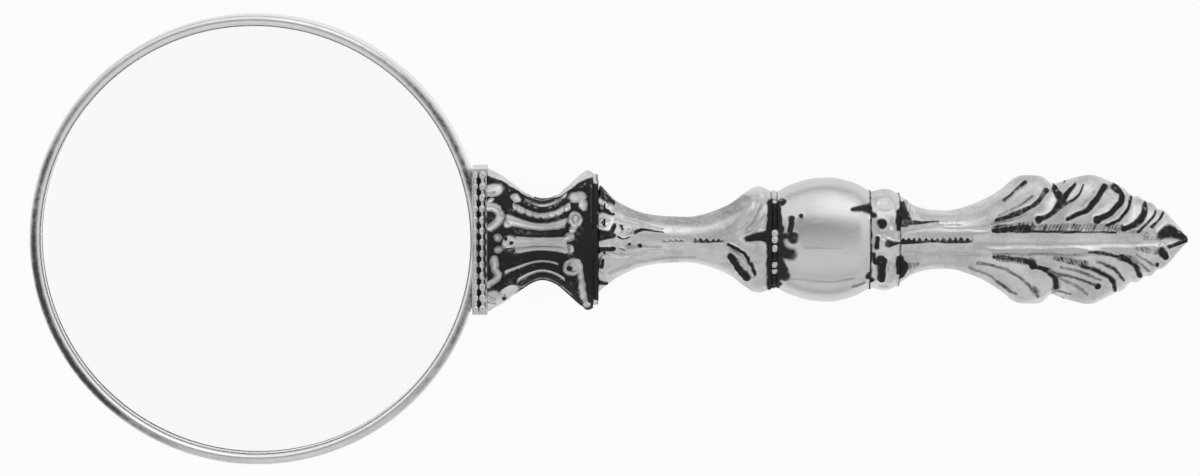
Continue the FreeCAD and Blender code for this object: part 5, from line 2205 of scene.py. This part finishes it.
    def tip(self) -> tuple[Work, ...]:
        """The dark grooves at the leaf's point."""
        return (
            above(
                Groove(((46.2, 1.1), (47.8, 1.7)), 2.0, 0.5, 1.3, shoulder=0.05),
                Groove(((47.8, 1.6), (49.4, 0.9), (51.2, 0.0)), 2.7, 0.4, 0.3, shoulder=0.05),
                Hatching(((43.0, 0.6), (46.0, 0.5)), 1.2, 0.5, 0.4, 1.0, 0.15, 0.6),
            ),
            below(
                Groove(((46.4, 1.7), (47.2, 2.8)), 1.9, 0.5, 0.8, shoulder=0.05),
                Groove(((47.8, 1.0), (50.8, 0.1)), 1.2, 0.35, 0.6, 0.9, shoulder=0.05),
                Hatching(((42.2, 1.3), (45.6, 1.9)), 1.2, 0.5, 0.4, 1.2, 0.05, 0.75),
            ),
        )

    def build(self, frame: dict, stage: Stage, finishes: Finishes) -> None:
        """Builds the leaf's halves and dresses what they hold.

        Args:
            frame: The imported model.
            stage: The height of the handle's axis.
            finishes: The materials.
        """
        self.shell().build(stage, finishes.chased, Slot.CHASED)
        finish_node(frame, "leaf_filler", finishes.pitch)
        for node in ("tang_rod", "tang_washer", "tang_nut"):
            finish_node(frame, node, finishes.iron)


@dataclass
class Studio:
    """The camera, the white sheet and the soft light of the room.

    Attributes:
        distance: From the camera to the middle of the view, in metres.
        tilt: How far the camera leans back from straight above, in degrees.
        frame_width: Width of the view at the magnifier, in millimetres.
        aim: The middle of the view, as X and Y in millimetres.
        sensor: Width of the camera's sensor, in millimetres.
        floor_half: Half the floor's width, in metres.
        floor_gap: How far the floor lies below the magnifier, in metres.
        floor_glow: Share of the floor that shines of itself where it is seen.
        sheet: Half the width of the white sheet that the metal mirrors, in metres.
        sheet_shine: How bright the metal mirrors the sheet, and the table round it.
        lamp_place: Where the lamp stands, in metres.
        lamp_size: Side of its square face.
        lamp_power: Its power in watts.
        beam: Slopes overhead, toward +Y, at which the dark beam starts, is full, eases and ends.
        beam_dark: How much darker it is than the room.
        moulding: The same slopes for the darker moulding.
        moulding_dark: How much darker it is than the room.
    """

    distance: float = 0.78
    tilt: float = 6.0
    frame_width: float = 212.7
    aim: tuple[float, float] = (-1.57, 0.27)
    sensor: float = 36.0
    floor_half: float = 4.0
    floor_gap: float = 0.02 * MM
    floor_glow: float = 0.93
    sheet: float = 0.06
    sheet_shine: tuple[float, float] = (0.95, 0.4)
    lamp_place: tuple[float, float, float] = (0.35, 0.75, 0.75)
    lamp_size: float = 0.9
    lamp_power: float = 1.0
    beam: tuple[float, float, float, float] = (-0.4, 0.45, 0.54, 0.68)
    beam_dark: float = 0.74
    moulding: tuple[float, float, float, float] = (-1.8, -1.5, -1.35, -1.1)
    moulding_dark: float = 0.45

    def camera(self, stage: Stage) -> None:
        """Sets the camera up over the magnifier.

        Args:
            stage: The height of the handle's axis.
        """
        data = bpy.data.cameras.new("camera")
        data.sensor_width = self.sensor
        data.lens = self.sensor * self.distance / (self.frame_width * MM)
        data.clip_start = 0.01
        camera = linked("camera", data)
        target = Vector((self.aim[0] * MM, self.aim[1] * MM, stage.axis_z * MM))
        lean = math.radians(self.tilt)
        camera.location = target + self.distance * Vector((0, math.sin(lean), math.cos(lean)))
        camera.rotation_euler = (-lean, 0, 0)
        bpy.context.scene.camera = camera

    def floor(self) -> None:
        """Lays the white floor, which the metal mirrors as a white sheet on a grey table."""
        low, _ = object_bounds()
        height = low[2] - self.floor_gap
        sides = (-self.floor_half, self.floor_half)
        corners = np.array([(x, y, height) for y in sides for x in sides])
        floor = new_mesh_object("floor", corners, [(0, 1, 3, 2)])
        material, graph = new_material("white_sheet")
        rays = graph.add("ShaderNodeLightPath").outputs
        aside = graph.math("ABSOLUTE", graph.add("ShaderNodeSeparateXYZ", {0: graph.place()}).outputs["Y"])
        mirrored = graph.ramp(aside, self.sheet, 1.6 * self.sheet, *self.sheet_shine)
        seen = graph.math("MAXIMUM", rays["Is Camera Ray"], rays["Is Transmission Ray"])
        shine = graph.math("MAXIMUM", seen, mirrored)
        lit = graph.math("MAXIMUM", seen, rays["Is Glossy Ray"])
        matt = graph.add("ShaderNodeBsdfDiffuse", {"Color": grey(0.85)})
        white = graph.add("ShaderNodeEmission", {"Color": grey(1.0), "Strength": shine})
        share = graph.math("MULTIPLY", lit, self.floor_glow)
        mixed = graph.add("ShaderNodeMixShader", {0: share, 1: matt.outputs[0], 2: white.outputs[0]})
        graph.add("ShaderNodeOutputMaterial", {"Surface": mixed.outputs[0]})
        floor.data.materials.append(material)
        floor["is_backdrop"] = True

    def lamp(self) -> None:
        """Hangs a large weak lamp beside the magnifier."""
        data = bpy.data.lights.new("window", "AREA")
        data.size = self.lamp_size
        data.energy = self.lamp_power
        lamp = linked("window", data)
        lamp.location = self.lamp_place
        lamp.rotation_euler = (-Vector(self.lamp_place)).to_track_quat("-Z", "Y").to_euler()

    def room(self) -> None:
        """Sets the room's light: pale walls, with a dark camera and ceiling beam overhead."""
        world = bpy.data.worlds.new("room")
        world.use_nodes = True
        bpy.context.scene.world = world
        graph = Graph(world.node_tree)
        way = graph.add("ShaderNodeTexCoord").outputs["Generated"]
        parts = graph.add("ShaderNodeSeparateXYZ", {0: way}).outputs
        up = graph.math("MAXIMUM", parts["Z"], 0.02)
        slope_x = graph.math("DIVIDE", parts["X"], up)
        slope_y = graph.math("DIVIDE", parts["Y"], up)
        walls = graph.ramp(slope_y, -0.3, 0.6, 0.78, 0.96)
        beam_ends = graph.ramp(graph.math("ABSOLUTE", slope_x), 0.7, 1.3, 1.0, 0.0)
        beam = graph.math("MULTIPLY", graph.band(slope_y, self.beam), beam_ends)
        moulding = graph.band(slope_y, self.moulding)
        dimmed = graph.math("SUBTRACT", 1.0, graph.math("MULTIPLY", beam, self.beam_dark))
        lined = graph.math("SUBTRACT", 1.0, graph.math("MULTIPLY", moulding, self.moulding_dark))
        skirting = graph.ramp(parts["Z"], 0.02, 0.14, 0.45, 1.0)
        open_room = graph.math("MULTIPLY", walls, skirting)
        strength = graph.math("MULTIPLY", open_room, graph.math("MULTIPLY", dimmed, lined))
        shine = graph.add("ShaderNodeBackground", {"Color": grey(1.0), "Strength": strength})
        graph.add("ShaderNodeOutputWorld", {"Surface": shine.outputs[0]})

    def build(self, stage: Stage) -> None:
        """Builds the camera, the floor and the light.

        Args:
            stage: The height of the handle's axis.
        """
        self.camera(stage)
        self.floor()
        self.lamp()
        self.room()
        bpy.context.scene.view_settings.view_transform = "Standard"


def main() -> None:
    """Builds the magnifier's looks piece by piece."""
    logging.basicConfig(level=logging.INFO, format="%(message)s")
    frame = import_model()
    stage = Stage.read()
    finishes = Finishes()
    Studio().build(stage)
    Rim().build(frame, finishes)
    Yoke().build(frame, finishes)
    for part in (Capital(), Stem(), Collar(), Knop(), LeafCollar(), Leaf()):
        part.build(frame, stage, finishes)
        LOG.info("%s is built", type(part).__name__)


if __name__ == "__main__":
    main()
